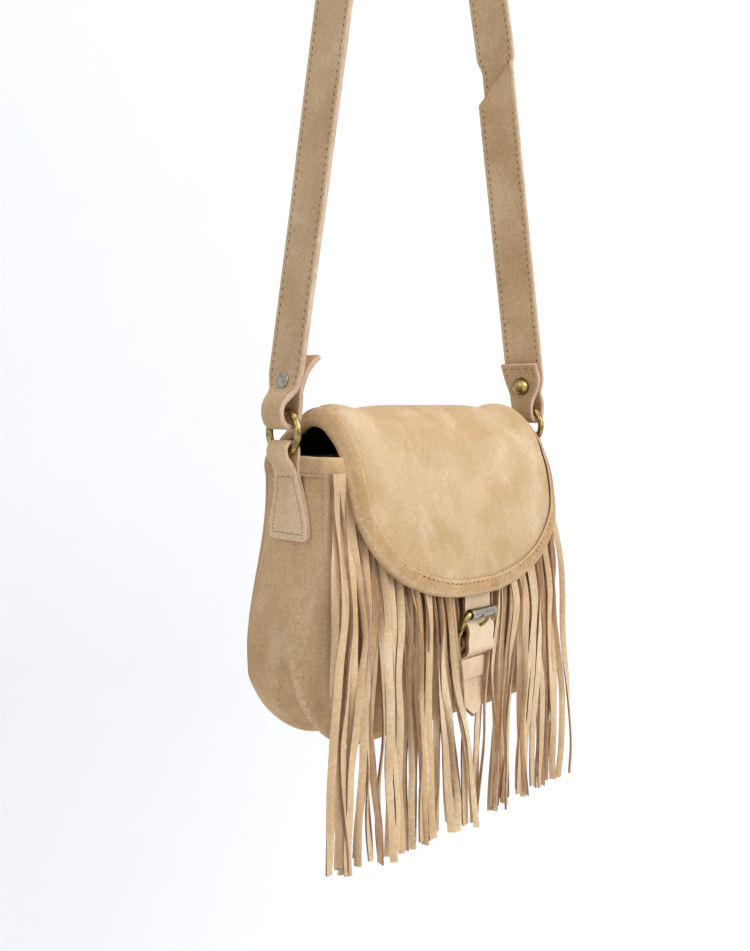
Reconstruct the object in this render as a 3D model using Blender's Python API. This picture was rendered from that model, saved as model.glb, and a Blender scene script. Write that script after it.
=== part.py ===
"""A small saddle bag of suede with a fringed front, hung by its shoulder strap.

Metres, +Z up. The origin is the hanging point, on the underside of the strap's top
bend. The front faces -Y, and the bag's left side lies at -X.
"""

import math

import bmesh
import bpy
from mathutils import Vector

# Leather, cloth and the clearance between touching pieces
GAP = 0.0003
SEAM_GAP = 0.0008
LAYER_GAP = 0.0006
SUEDE = 0.0018
BINDING = 0.0012
LINING = 0.0008
FRINGE = 0.0013

# Body
BODY_WIDTH = 0.2256
BODY_HEIGHT = 0.167
CORNER_RADIUS = 0.038
DEPTH_TOP = 0.0546
DEPTH_LOW = 0.0735
DEPTH_BOTTOM = 0.0700
FRONT_Y = -0.0290
FRONT_BULGE = 0.0070
HANG_DROP = 0.654
BINDING_FALL = 0.0092

# Flap
FLAP_HALF_WIDTH = 0.0985
FLAP_CORNER_RISE = 0.0730
FLAP_POWER = 2.3
FLAP_BULGE = 0.0060
FLAP_BINDING_WIDTH = 0.0085
FLAP_OVERLAP = 0.0140
FLAP_RIDGE = 0.0315
FLAP_FALL = 0.0865

# Fringe
FRINGE_TOP = 0.0105
FRINGE_BAND = 0.0110
FRINGE_LENGTH = 0.2250
FRINGE_SIDE_MARGIN = 0.0030
FRINGE_CENTRE_GAP = 0.0170
STRIP_WIDTH = 0.0036
SLIT_WIDTH = 0.0013

# Shoulder strap, rings and tabs
STRAP_WIDTH = 0.0300
STRAP_END_WIDTH = 0.0175
STRAP_THICKNESS = 0.0030
STRAP_LEAN = 0.165
STRAP_HOOK_RADIUS = 0.0200
STRAP_TAIL = 0.0330
STRAP_CLOSE = 0.0105
TAIL_FLARE = 0.0040
TAIL_TRIM = 0.0030
STRAP_LAP = 0.0290
STRAP_LAP_RISE = 0.2680
RING_RADIUS = 0.01325
RING_WIRE = 0.00225
RING_PLAY = 0.0012
RING_OUT = 0.1206
RING_RISE = 0.0165
TAB_PLY = 0.0018
TAB_TOP_WIDTH = 0.0175
TAB_WAIST_WIDTH = 0.0190
TAB_FOOT_WIDTH = 0.0350
TAB_FALL = 0.0480
TAB_CORNER = 0.0045
TAB_SETTLE = 0.0073
TAB_STEP = 0.0012
TAB_OPEN = 0.0040
RIVET_RISE = 0.0175
RIVET_CAP_RADIUS = 0.0050
RIVET_POST_RADIUS = 0.0016
RIVET_BASE_HEIGHT = 0.0011
RIVET_CAP_SKIRT = 0.0006
RIVET_CAP_DOME = 0.0020

# Closure
CLOSURE_WIDTH = 0.0250
CLOSURE_THICKNESS = 0.0022
CLOSURE_POINT = 0.0150
SEWN_UNDER_FLAP = 0.0300
BUCKLE_REACH = 0.0220
BUCKLE_TILT = math.radians(25)
BUCKLE_ROD = 0.0020
HEEL_FALL = 0.1205
ROLLER_RADIUS = 0.0034
ROLLER_WALL = 0.0009
ROLLER_SLIT = 0.0009
PRONG_RADIUS = 0.0011
CHAPE_PLY = 0.0014
CHAPE_FOOT_RISE = 0.0170
KEEPER_BELOW_HEEL = 0.0100
KEEPER_HEIGHT = 0.0130
TIP_BELOW_KEEPER = 0.0250
KEEPER_WALL = 0.0012

SUEDE_SAND = (0.60, 0.45, 0.28)
SUEDE_LIGHT = (0.68, 0.53, 0.35)
SUEDE_DARK = (0.45, 0.33, 0.20)
CLOTH_BLACK = (0.02, 0.018, 0.017)
BRASS = (0.42, 0.31, 0.14)
NICKEL = (0.42, 0.41, 0.38)

RIM_Z = -HANG_DROP
HALF_WIDTH = BODY_WIDTH / 2
PANEL_HALF = HALF_WIDTH + SUEDE / 2
PANEL_CORNER = CORNER_RADIUS + SUEDE / 2
PANEL_HEIGHT = BODY_HEIGHT + SUEDE / 2
FRONT_CENTRE_Y = FRONT_Y - SEAM_GAP - SUEDE / 2
PANEL_FACE_Y = FRONT_CENTRE_Y - SUEDE / 2 - FRONT_BULGE
CHAPE_FALL = BODY_HEIGHT - CHAPE_FOOT_RISE
KEEPER_FALL = HEEL_FALL + KEEPER_BELOW_HEEL
CLOSURE_TIP = KEEPER_FALL + KEEPER_HEIGHT + TIP_BELOW_KEEPER


def smooth(t):
    """A step from 0 to 1 with soft ends."""
    t = min(max(t, 0.0), 1.0)
    return t * t * (3 - 2 * t)


def material(name, colour, roughness, metallic=0.0):
    mat = bpy.data.materials.new(name)
    mat.use_nodes = True
    shader = mat.node_tree.nodes["Principled BSDF"]
    shader.inputs["Base Color"].default_value = (*colour, 1)
    shader.inputs["Roughness"].default_value = roughness
    shader.inputs["Metallic"].default_value = metallic
    return mat


def add_object(name, mesh_or_curve, colour, roughness, metallic=0.0):
    mesh_or_curve.materials.append(material(name, colour, roughness, metallic))
    obj = bpy.data.objects.new(name, mesh_or_curve)
    bpy.context.scene.collection.objects.link(obj)
    return obj


def sheet(name, rows, thickness, colour, skip=()):
    """A grid of points made into a sheet, centred on the grid. Cells in skip are left open."""
    bm = bmesh.new()
    grid = [[bm.verts.new(point) for point in row] for row in rows]
    for i in range(len(grid) - 1):
        for j in range(len(grid[i]) - 1):
            if (i, j) not in skip:
                bm.faces.new((grid[i][j], grid[i][j + 1], grid[i + 1][j + 1], grid[i + 1][j]))
    bmesh.ops.recalc_face_normals(bm, faces=bm.faces[:])
    mesh = bpy.data.meshes.new(name)
    bm.to_mesh(mesh)
    bm.free()
    mesh.shade_smooth()
    obj = add_object(name, mesh, colour, 0.95)
    solidify = obj.modifiers.new("thickness", "SOLIDIFY")
    solidify.thickness = thickness
    solidify.offset = 0
    solidify.use_even_offset = True
    return obj


def loft(name, sections, colour, roughness=0.95, metallic=0.0, loop=False):
    """Closed sections joined in order. The ends are capped unless the loft runs in a loop."""
    bm = bmesh.new()
    rings = [[bm.verts.new(point) for point in section] for section in sections]
    pairs = list(zip(rings, rings[1:]))
    if loop:
        pairs.append((rings[-1], rings[0]))
    for first, second in pairs:
        for k in range(len(first)):
            after = (k + 1) % len(first)
            bm.faces.new((first[k], first[after], second[after], second[k]))
    if not loop:
        bm.faces.new(rings[0])
        bm.faces.new(rings[-1])
    bmesh.ops.recalc_face_normals(bm, faces=bm.faces[:])
    mesh = bpy.data.meshes.new(name)
    bm.to_mesh(mesh)
    bm.free()
    return add_object(name, mesh, colour, roughness, metallic)


def ribbon(name, centres, across, half_widths, thickness, colour):
    """A flat strip along centres, its width along the unit vector across."""
    sections = []
    last = len(centres) - 1
    for i, centre in enumerate(centres):
        tangent = (centres[min(i + 1, last)] - centres[max(i - 1, 0)]).normalized()
        normal = tangent.cross(across).normalized() * (thickness / 2)
        half = across * half_widths[i]
        sections.append(
            [centre - half - normal, centre + half - normal, centre + half + normal, centre - half + normal]
        )
    return loft(name, sections, colour)


def turned(name, profile, place, axis, colour, roughness, metallic, steps=16):
    """A profile of (radius, height) points turned about axis at place."""
    bm = bmesh.new()
    axis = axis.normalized()
    side = axis.orthogonal().normalized()
    points = [bm.verts.new(place + axis * h + side * r) for r, h in profile]
    edges = [bm.edges.new(pair) for pair in zip(points, points[1:])]
    bmesh.ops.spin(
        bm, geom=points + edges, cent=place, axis=axis, angle=2 * math.pi, steps=steps, use_merge=True
    )
    bmesh.ops.remove_doubles(bm, verts=bm.verts[:], dist=0.00001)
    bmesh.ops.recalc_face_normals(bm, faces=bm.faces[:])
    mesh = bpy.data.meshes.new(name)
    bm.to_mesh(mesh)
    bm.free()
    mesh.shade_smooth()
    mesh.set_sharp_from_angle(angle=math.radians(40))
    return add_object(name, mesh, colour, roughness, metallic)


def rod(name, points, radius, colour, roughness, cyclic=False, resolution=2):
    """A round rod through points, closed at its ends or run in a loop."""
    curve = bpy.data.curves.new(name, "CURVE")
    curve.dimensions = "3D"
    curve.bevel_depth = radius
    curve.bevel_resolution = resolution
    curve.use_fill_caps = True
    spline = curve.splines.new("POLY")
    spline.points.add(len(points) - 1)
    for point, place in zip(spline.points, points):
        point.co = (*place, 1)
    spline.use_cyclic_u = cyclic
    return add_object(name, curve, colour, roughness, 1.0)


def cut(target, size, place, turn=(0, 0, 0)):
    """Cuts a box from target."""
    bm = bmesh.new()
    bmesh.ops.create_cube(bm, size=1)
    bmesh.ops.scale(bm, verts=bm.verts[:], vec=size)
    mesh = bpy.data.meshes.new(target.name + "_cutter")
    bm.to_mesh(mesh)
    bm.free()
    cutter = bpy.data.objects.new(mesh.name, mesh)
    bpy.context.scene.collection.objects.link(cutter)
    cutter.location = place
    cutter.rotation_euler = turn
    cutter.hide_render = True
    cutter.display_type = "WIRE"
    boolean = target.modifiers.new("cut", "BOOLEAN")
    boolean.operation = "DIFFERENCE"
    boolean.object = cutter


def bow(start, end, count):
    """Positions from start to end, closer together near both ends."""
    mean, reach = (start + end) / 2, (end - start) / 2
    return [mean - reach * math.cos(math.pi * i / (count - 1)) for i in range(count)]


def spread(start, end, count):
    """Evenly spaced positions from start to end."""
    return [start + (end - start) * i / (count - 1) for i in range(count)]


def depth_at(fall):
    """Front-to-back depth of the body at a distance below the rim."""
    swell = smooth((fall - 0.12 * BODY_HEIGHT) / (0.62 * BODY_HEIGHT))
    tuck = smooth((fall - 0.70 * BODY_HEIGHT) / (0.30 * BODY_HEIGHT))
    return DEPTH_TOP + (DEPTH_LOW - DEPTH_TOP) * swell - (DEPTH_LOW - DEPTH_BOTTOM) * tuck


def floor_at(x, half, height, radius):
    """Fall of the U-shaped outline below the rim at x."""
    past = abs(x) - (half - radius)
    if past <= 0:
        return height
    return height - radius + math.sqrt(max(radius**2 - past**2, 0))


def bulge_at(x, fall):
    """How far the front panel stands forward of its seam."""
    share = min(fall / floor_at(min(abs(x), HALF_WIDTH), HALF_WIDTH, BODY_HEIGHT, CORNER_RADIUS), 1)
    side = 1 - min(abs(x) / HALF_WIDTH, 1) ** 4
    return FRONT_BULGE * side * math.sin(math.pi * share**1.6)


def build_panels():
    columns = bow(-PANEL_HALF, PANEL_HALF, 17)
    rows_front, rows_back = [], []
    for share in spread(0, 1, 13):
        front, back = [], []
        for x in columns:
            fall = share * floor_at(x, PANEL_HALF, PANEL_HEIGHT, PANEL_CORNER)
            front.append(Vector((x, FRONT_CENTRE_Y - bulge_at(x, fall), RIM_Z - fall)))
            back.append(Vector((x, FRONT_Y + depth_at(fall) + SEAM_GAP + SUEDE / 2, RIM_Z - fall)))
        rows_front.append(front)
        rows_back.append(back)
    sheet("front_panel", rows_front, SUEDE, SUEDE_SAND)
    sheet("back_panel", rows_back, SUEDE, SUEDE_SAND)


def u_path():
    """The gusset's route round the body, as (x, fall) from left rim to right rim."""
    straight = BODY_HEIGHT - CORNER_RADIUS
    inner = HALF_WIDTH - CORNER_RADIUS
    left = [(-HALF_WIDTH, fall) for fall in spread(0, straight, 13)[:-1]]
    arc = []
    for angle in spread(0, math.pi / 2, 7):
        arc.append((-inner - CORNER_RADIUS * math.cos(angle), straight + CORNER_RADIUS * math.sin(angle)))
    half = left + arc
    return half + [(0.0, BODY_HEIGHT)] + [(-x, fall) for x, fall in reversed(half)]


def build_gusset():
    rows = []
    for x, fall in u_path():
        back = FRONT_Y + depth_at(fall)
        rows.append([Vector((x, y, RIM_Z - fall)) for y in spread(FRONT_Y, back, 4)])
    sheet("gusset", rows, SUEDE, SUEDE_SAND)


def build_lining():
    """A cloth bag, open at the top, just inside the panels and the gusset."""
    away = SUEDE / 2 + 2 * GAP + LINING

    def loop(fall, inset):
        reach = BODY_HEIGHT - CORNER_RADIUS
        drop = max(fall - reach, 0)
        half = HALF_WIDTH - CORNER_RADIUS + math.sqrt((CORNER_RADIUS - inset) ** 2 - drop**2)
        z = RIM_Z - fall
        front = [Vector((x, FRONT_Y + inset - bulge_at(x, fall), z)) for x in spread(-half, half, 9)]
        y_back = FRONT_Y + depth_at(fall) - inset
        return front + [Vector((x, y_back, z)) for x in spread(half, -half, 5)]

    top = BINDING_FALL + 2 * GAP
    low = BODY_HEIGHT - 2.5 * away
    falls = spread(top, BODY_HEIGHT - CORNER_RADIUS, 6) + spread(BODY_HEIGHT - CORNER_RADIUS, low, 5)[1:]
    outer = [loop(fall, away - LINING) for fall in falls]
    inner = [loop(fall, away) for fall in falls[:-1]] + [loop(low - LINING, away)]
    loft("lining", list(reversed(outer)) + inner, CLOTH_BLACK)


def c_section(edge, inward, normal, inside, width):
    """A folded strip's section that holds an edge: inside is half of what it wraps."""
    outside = inside + BINDING
    ring = []
    for side, deep in (
        (inside, width), (inside, -GAP), (-inside, -GAP), (-inside, width),
        (-outside, width), (-outside, -GAP - BINDING), (outside, -GAP - BINDING), (outside, width),
    ):
        ring.append(edge + inward * deep + normal * side)
    return ring


def build_mouth_binding():
    """A folded strip over the top edge of the gusset and the front panel."""
    back, front = FRONT_Y + DEPTH_TOP - GAP, FRONT_CENTRE_Y
    corners = [(-HALF_WIDTH, back), (-HALF_WIDTH, front), (HALF_WIDTH, front), (HALF_WIDTH, back)]
    mitres = [Vector((1, 0, 0)), Vector((1, 1, 0)), Vector((-1, 1, 0)), Vector((-1, 0, 0))]
    sections = []
    for (x, y), mitre in zip(corners, mitres):
        sections.append(
            c_section(Vector((x, y, RIM_Z)), Vector((0, 0, -1)), mitre, SUEDE / 2 + GAP, BINDING_FALL)
        )
    loft("mouth_binding", sections, SUEDE_SAND)


def flap_profile():
    """The flap's side view as (y, z) from its seam on the back, over the ridge, to its foot."""
    seam = FRONT_Y + DEPTH_TOP + SEAM_GAP + SUEDE + GAP + SUEDE / 2
    key = [
        (seam, -FLAP_OVERLAP),
        (seam, 2 * SUEDE),
        (seam - 0.05 * DEPTH_TOP, 0.42 * FLAP_RIDGE),
        (seam - 0.19 * DEPTH_TOP, 0.74 * FLAP_RIDGE),
        (seam - 0.38 * DEPTH_TOP, 0.94 * FLAP_RIDGE),
        (seam - 0.60 * DEPTH_TOP, FLAP_RIDGE),
        (seam - 0.82 * DEPTH_TOP, 0.92 * FLAP_RIDGE),
        (seam - 1.00 * DEPTH_TOP, 0.70 * FLAP_RIDGE),
        (FRONT_Y - 0.0065, 0.32 * FLAP_RIDGE),
        (FRONT_Y - 0.0115, -0.07 * FLAP_FALL),
        (FRONT_Y - 0.0155, -0.35 * FLAP_FALL),
        (FRONT_Y - 0.0180, -0.65 * FLAP_FALL),
        (FRONT_Y - 0.0195, -FLAP_FALL),
    ]
    points = []
    for i in range(len(key) - 1):
        before, start = Vector(key[max(i - 1, 0)]), Vector(key[i])
        end, after = Vector(key[i + 1]), Vector(key[min(i + 2, len(key) - 1)])
        for step in range(4):
            t = step / 4
            points.append(
                0.5 * ((2 * start) + (end - before) * t + (2 * before - 5 * start + 4 * end - after) * t**2
                       + (3 * start - before - 3 * end + after) * t**3)
            )
    points.append(Vector(key[-1]))
    return points


PROFILE = flap_profile()
FLAP_INSIDE = (SUEDE + LAYER_GAP + LINING) / 2 + LAYER_GAP
FLAP_BACK = FLAP_INSIDE + BINDING + (LAYER_GAP + LINING) / 2


def profile_length():
    return sum((b - a).length for a, b in zip(PROFILE, PROFILE[1:]))


def profile_place(run):
    """The point of the profile at a distance along it, carried straight on past its ends."""
    left = run
    for a, b in zip(PROFILE, PROFILE[1:]):
        length = (b - a).length
        if left <= length or b is PROFILE[-1]:
            break
        left -= length
    return a + (b - a).normalized() * left


def flap_point(x, run, lift=0.0):
    """The flap's surface at x and a distance along its profile, lifted outwards by lift."""
    place = profile_place(run)
    direction = (profile_place(run + 2 * SUEDE) - profile_place(run - 2 * SUEDE)).normalized()
    outward = Vector((direction.y, -direction.x))
    front = smooth((run / profile_length() - 0.45) / 0.35)
    bulge = FLAP_BULGE * front * (1 - min(abs(x) / FLAP_HALF_WIDTH, 1) ** 2)
    y, z = place + outward * lift
    return Vector((x, y - bulge, RIM_Z + z))


def flap_run(x):
    """Length of the flap's profile at x, down to its U-shaped foot."""
    rise = FLAP_CORNER_RISE
    share = min(abs(x) / FLAP_HALF_WIDTH, 1)
    return profile_length() - rise + rise * (1 - share**FLAP_POWER) ** (1 / FLAP_POWER)


LINING_START = FLAP_OVERLAP + 4 * GAP + BINDING
LEVEL_SHARE = 0.625
FLAP_SIDE_LEFT = 0.0120
FLAP_SHARES = spread(0, 1, 17)


def run_at(x, share):
    """Distance along the profile at x, for a share of the way from the lining's top to the foot."""
    level = profile_length() - FLAP_CORNER_RISE - FLAP_SIDE_LEFT
    if share <= LEVEL_SHARE:
        return LINING_START + (level - LINING_START) * share / LEVEL_SHARE
    return level + (flap_run(x) - level) * (share - LEVEL_SHARE) / (1 - LEVEL_SHARE)


def build_flap():
    columns = bow(-FLAP_HALF_WIDTH, FLAP_HALF_WIDTH, 15)
    rows = [[flap_point(x, 0) for x in columns]]
    for share in FLAP_SHARES:
        rows.append([flap_point(x, run_at(x, share)) for x in columns])
    sheet("flap", rows, SUEDE, SUEDE_LIGHT)

    narrow = 1 - 2 * GAP / FLAP_HALF_WIDTH
    lift = -(SUEDE / 2 + LAYER_GAP + LINING / 2)
    rows = []
    for share in FLAP_SHARES:
        near = share * narrow if share == 1 else share
        rows.append([flap_point(x * narrow, run_at(x, near), lift) for x in columns])
    sheet("flap_lining", rows, LINING, CLOTH_BLACK)


def build_flap_binding():
    """A folded strip round the flap's sides and foot, over the flap and its lining."""
    middle = -(LAYER_GAP + LINING) / 2
    inside = FLAP_INSIDE
    outline = [(-FLAP_HALF_WIDTH, run_at(FLAP_HALF_WIDTH, share)) for share in FLAP_SHARES]
    side_count = len(outline)
    for x in bow(-FLAP_HALF_WIDTH, FLAP_HALF_WIDTH, 25)[1:-1]:
        outline.append((x, flap_run(x)))
    outline += [(-x, run) for x, run in reversed(outline[:side_count])]
    sections = []
    last = len(outline) - 1
    for i, (x, run) in enumerate(outline):
        ahead, behind = outline[min(i + 1, last)], outline[max(i - 1, 0)]
        along = Vector((ahead[0] - behind[0], ahead[1] - behind[1])).normalized()
        inward = Vector((along.y, -along.x))
        place = flap_point(x, run, middle)
        deeper = flap_point(x + inward.x * 0.002, run + inward.y * 0.002, middle)
        direction = (deeper - place).normalized()
        side = flap_point(x + along.x * 0.001, run + along.y * 0.001, middle)
        sideways = (side - flap_point(x - along.x * 0.001, run - along.y * 0.001, middle)).normalized()
        normal = sideways.cross(direction).normalized()
        sections.append(c_section(place, direction, normal, inside, FLAP_BINDING_WIDTH))
    loft("flap_binding", sections, SUEDE_SAND)


FULLEST = 0.65


def fringe_y(x, fall, layer):
    """Where a fringe strip hangs: on the panel, then straight down from its fullest point."""
    panel = FRONT_CENTRE_Y - bulge_at(x, min(fall, FULLEST * BODY_HEIGHT))
    return panel - SUEDE / 2 - (GAP + FRINGE / 2) - layer * (GAP + FRINGE)


def build_fringe(name, start, end, layer, phase):
    """An uncut band cut below into strips that hang free, as one piece."""
    pitch = STRIP_WIDTH + SLIT_WIDTH
    count = int((end - start + SLIT_WIDTH) / pitch)
    pitch = (end - start + SLIT_WIDTH) / count
    edges = []
    for k in range(count):
        edges += [start + k * pitch, start + k * pitch + pitch - SLIT_WIDTH]
    band_foot = FRINGE_TOP + FRINGE_BAND
    falls = [FRINGE_TOP] + spread(band_foot, FULLEST * BODY_HEIGHT, 5)
    falls += spread(FULLEST * BODY_HEIGHT, FRINGE_TOP + FRINGE_LENGTH, 4)[1:]
    rows = []
    for r, fall in enumerate(falls):
        loose = smooth((fall - FRINGE_TOP - FRINGE_BAND) / FRINGE_LENGTH)
        row = []
        for k, x in enumerate(edges):
            strip = k // 2
            sway = 0.0022 * loose * math.sin(strip * 0.9 + phase + 14 * fall)
            wave = 0.0004 * loose * math.sin(strip * 2.1 + 60 * fall)
            uneven = 0.0060 * loose * math.sin(strip * 1.7 + phase) if r == len(falls) - 1 else 0.0
            y = fringe_y(x, fall, layer) - 0.0005 * loose + wave
            row.append(Vector((x + sway * 0.3, y, RIM_Z - fall - uneven)))
        rows.append(row)
    slits = {(i, 2 * k + 1) for i in range(1, len(falls) - 1) for k in range(count - 1)}
    sheet(name, rows, FRINGE, SUEDE_SAND, skip=slits)


def build_fringes():
    outer_edge = HALF_WIDTH - FRINGE_SIDE_MARGIN
    for side, (start, end) in (
        ("left", (-outer_edge, -FRINGE_CENTRE_GAP)),
        ("right", (FRINGE_CENTRE_GAP, outer_edge)),
    ):
        build_fringe(f"fringe_{side}_inner", start, end, 0, 0.4)
        build_fringe(f"fringe_{side}_outer", start, end, 1, 1.9)


ACROSS = Vector((0, 1, 0))


def wire_reach(width):
    """How far a straight fold of this width stands from the wire's centre line to clear the ring's bend."""
    return RING_RADIUS - math.sqrt((RING_RADIUS - RING_WIRE) ** 2 - (width / 2) ** 2) + GAP


LOOP_INNER = RING_WIRE + RING_PLAY
TOP_WIRE_Z = RIM_Z + RING_RISE + RING_RADIUS
LOW_WIRE_Z = RIM_Z + RING_RISE - RING_RADIUS


def leg_axes(side):
    """The way up one leg of the strap, and the way out from the bag."""
    return Vector((-side * STRAP_LEAN, 0, 1)).normalized(), Vector((side, 0, STRAP_LEAN)).normalized()


def strap_route(side):
    """Centres and half-widths of one strap leg, from its tail's tip round the ring and up."""
    up, out = leg_axes(side)
    wire = Vector((side * RING_OUT, 0, TOP_WIRE_Z))
    ply = STRAP_THICKNESS / 2 + GAP / 2
    wide = LOOP_INNER + STRAP_THICKNESS / 2
    foot = LOOP_INNER - wire_reach(STRAP_END_WIDTH)
    centres, widths = [], []

    def add(height, offset, half):
        centres.append(wire + up * height + out * offset)
        widths.append(half)

    full, narrow = STRAP_WIDTH / 2, STRAP_END_WIDTH / 2

    def half_at(height):
        return narrow + (full - narrow) * smooth((height - foot) / (STRAP_TAIL * 0.75))

    def opened(height):
        return ply + (wide - ply) * smooth((STRAP_CLOSE - height) / STRAP_CLOSE)

    for height in spread(STRAP_TAIL, RIVET_RISE + RIVET_CAP_RADIUS, 4):
        flare = smooth((height - RIVET_RISE - RIVET_CAP_RADIUS) / (STRAP_TAIL - RIVET_RISE)) * TAIL_FLARE
        add(height, -ply - flare, half_at(height) - (TAIL_TRIM if height == STRAP_TAIL else 0))
    for height in (RIVET_RISE, STRAP_CLOSE):
        add(height, -ply, half_at(height))
    for height in spread(STRAP_CLOSE, 0.0, 5)[1:]:
        add(height, -opened(height), half_at(height))
    for angle in spread(-math.pi / 2, math.pi / 2, 9):
        add(foot - wide * math.cos(angle), wide * math.sin(angle), narrow)
    for height in spread(0.0, STRAP_CLOSE, 5):
        add(height, opened(height), half_at(height))
    for height in spread(RIVET_RISE, STRAP_TAIL, 4):
        add(height, ply, half_at(height))
    return centres, widths


def build_strap():
    """The strap in two lengths that meet in a stitched lap on the right leg."""
    centres, widths = strap_route(-1)
    ply = STRAP_THICKNESS / 2
    hook_centre = Vector((0, 0, -STRAP_HOOK_RADIUS))
    hook = STRAP_HOOK_RADIUS + ply
    lean = math.atan(STRAP_LEAN)
    for angle in spread(math.pi - lean, lean, 15):
        centres.append(hook_centre + Vector((math.cos(angle), 0, math.sin(angle))) * hook)
        widths.append(STRAP_WIDTH / 2)
    right, right_widths = strap_route(1)
    top_right = centres[-1]
    foot_right = right[-1]
    line = (foot_right - top_right).normalized()
    lap_z = RIM_Z + STRAP_LAP_RISE
    lap_start = top_right + line * ((top_right.z - lap_z - STRAP_LAP / 2) / -line.z)
    lap_end = top_right + line * ((top_right.z - lap_z + STRAP_LAP / 2) / -line.z)
    step_out = leg_axes(1)[1] * (STRAP_THICKNESS + GAP)
    centres += [lap_start - line * 0.02, lap_start - line * 0.006 + step_out, lap_end + step_out]
    widths += [STRAP_WIDTH / 2] * 3
    long_strap = ribbon("strap_long", centres, ACROSS, widths, STRAP_THICKNESS, SUEDE_DARK)
    short_centres = right + [lap_end + line * 0.004, lap_start]
    short_widths = right_widths + [STRAP_WIDTH / 2] * 2
    short_strap = ribbon("strap_short", short_centres, ACROSS, short_widths, STRAP_THICKNESS, SUEDE_DARK)
    for side, strap in ((-1, long_strap), (1, short_strap)):
        build_rivet(side, strap)


def build_rivet(side, strap):
    """A domed cap on the tail, a flat base on the outer face and the post between them."""
    word = "left" if side < 0 else "right"
    up, out = leg_axes(side)
    place = Vector((side * RING_OUT, 0, TOP_WIRE_Z)) + up * RIVET_RISE
    face = STRAP_THICKNESS + GAP / 2 + GAP
    hole = 2 * (RIVET_POST_RADIUS + GAP)
    turn = (0, math.atan2(-side * STRAP_LEAN, 1), 0)
    cut(strap, (4 * face, hole, hole), place, turn)
    top = face + RIVET_BASE_HEIGHT
    base = [
        (0, top), (RIVET_CAP_RADIUS * 0.8, top), (RIVET_CAP_RADIUS, face + RIVET_BASE_HEIGHT / 3),
        (RIVET_CAP_RADIUS, face), (RIVET_POST_RADIUS, face), (RIVET_POST_RADIUS, -face), (0, -face),
    ]
    turned(f"rivet_base_{word}", base, place, out, NICKEL, 0.4, 1.0)
    skirt = -face - RIVET_CAP_SKIRT
    cap = [(RIVET_CAP_RADIUS, -face), (RIVET_CAP_RADIUS, skirt)]
    for angle in (0.35, 0.75, 1.15):
        cap.append((RIVET_CAP_RADIUS * math.cos(angle), skirt - RIVET_CAP_DOME * math.sin(angle)))
    cap += [(0, skirt - RIVET_CAP_DOME), (0, -face - GAP), (hole / 2, -face - GAP), (hole / 2, -face), cap[0]]
    turned(f"rivet_cap_{word}", cap, place, out, BRASS, 0.35, 1.0)


def build_tab(side):
    """A strip folded through the ring, both plies sewn to the gusset's outer face."""
    word = "left" if side < 0 else "right"
    wide = LOOP_INNER + TAB_PLY / 2
    half_gap = (TAB_PLY + GAP) / 2
    binding_x = HALF_WIDTH + SUEDE / 2 + GAP + BINDING + 2 * GAP + TAB_PLY + GAP / 2
    gusset_x = HALF_WIDTH + SUEDE / 2 + GAP + TAB_PLY + GAP / 2
    fold = wire_reach(TAB_TOP_WIDTH) - LOOP_INNER
    rows = []
    heights = [-TAB_FALL, -TAB_FALL + TAB_CORNER / 3]
    for height in heights + spread(-TAB_FALL + TAB_CORNER, -BINDING_FALL - TAB_SETTLE, 4):
        rows.append((RIM_Z + height, gusset_x - half_gap, gusset_x + half_gap))
    inner, outer = binding_x - half_gap, binding_x + half_gap
    rows.append((RIM_Z - BINDING_FALL - TAB_STEP, inner, outer))
    low = RIM_Z - TAB_OPEN
    for share in (0.0, 0.28, 0.56, 1.0):
        z = low + (LOW_WIRE_Z + fold - low) * share
        outwards = min(share / 0.56, 1)
        rows.append(
            (z, inner + (RING_OUT - wide - inner) * share, outer + (RING_OUT + wide - outer) * outwards)
        )

    def half_width(z):
        fall = RIM_Z - z
        if fall > TAB_FALL - 0.0012:
            return TAB_FOOT_WIDTH / 2 - 0.0035
        if fall > TAB_FALL - 0.0040:
            return TAB_FOOT_WIDTH / 2 - 0.0010
        waist = TAB_WAIST_WIDTH / 2
        if fall > 0:
            return waist + (TAB_FOOT_WIDTH / 2 - waist) * smooth(fall / (TAB_FALL - 0.002))
        return waist + (TAB_TOP_WIDTH / 2 - waist) * smooth(-fall / 0.010)

    centres, widths = [], []
    for z, _, x in rows:
        centres.append(Vector((side * x, 0, z)))
        widths.append(half_width(z))
    for angle in spread(0, math.pi, 9)[1:-1]:
        top = Vector((side * (RING_OUT + wide * math.cos(angle)), 0, LOW_WIRE_Z + fold + wide * math.sin(angle)))
        centres.append(top)
        widths.append(TAB_TOP_WIDTH / 2)
    for z, x, _ in reversed(rows):
        centres.append(Vector((side * x, 0, z)))
        widths.append(half_width(z))
    ribbon(f"gusset_tab_{word}", centres, ACROSS, widths, TAB_PLY, SUEDE_SAND)


def build_ring(side):
    word = "left" if side < 0 else "right"
    middle = Vector((side * RING_OUT, 0, RIM_Z + RING_RISE))
    points = []
    for k in range(28):
        angle = 2 * math.pi * k / 28
        points.append(middle + Vector((0, RING_RADIUS * math.cos(angle), RING_RADIUS * math.sin(angle))))
    rod(f"ring_{word}", points, RING_WIRE, BRASS, 0.3, cyclic=True, resolution=2)


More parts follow.
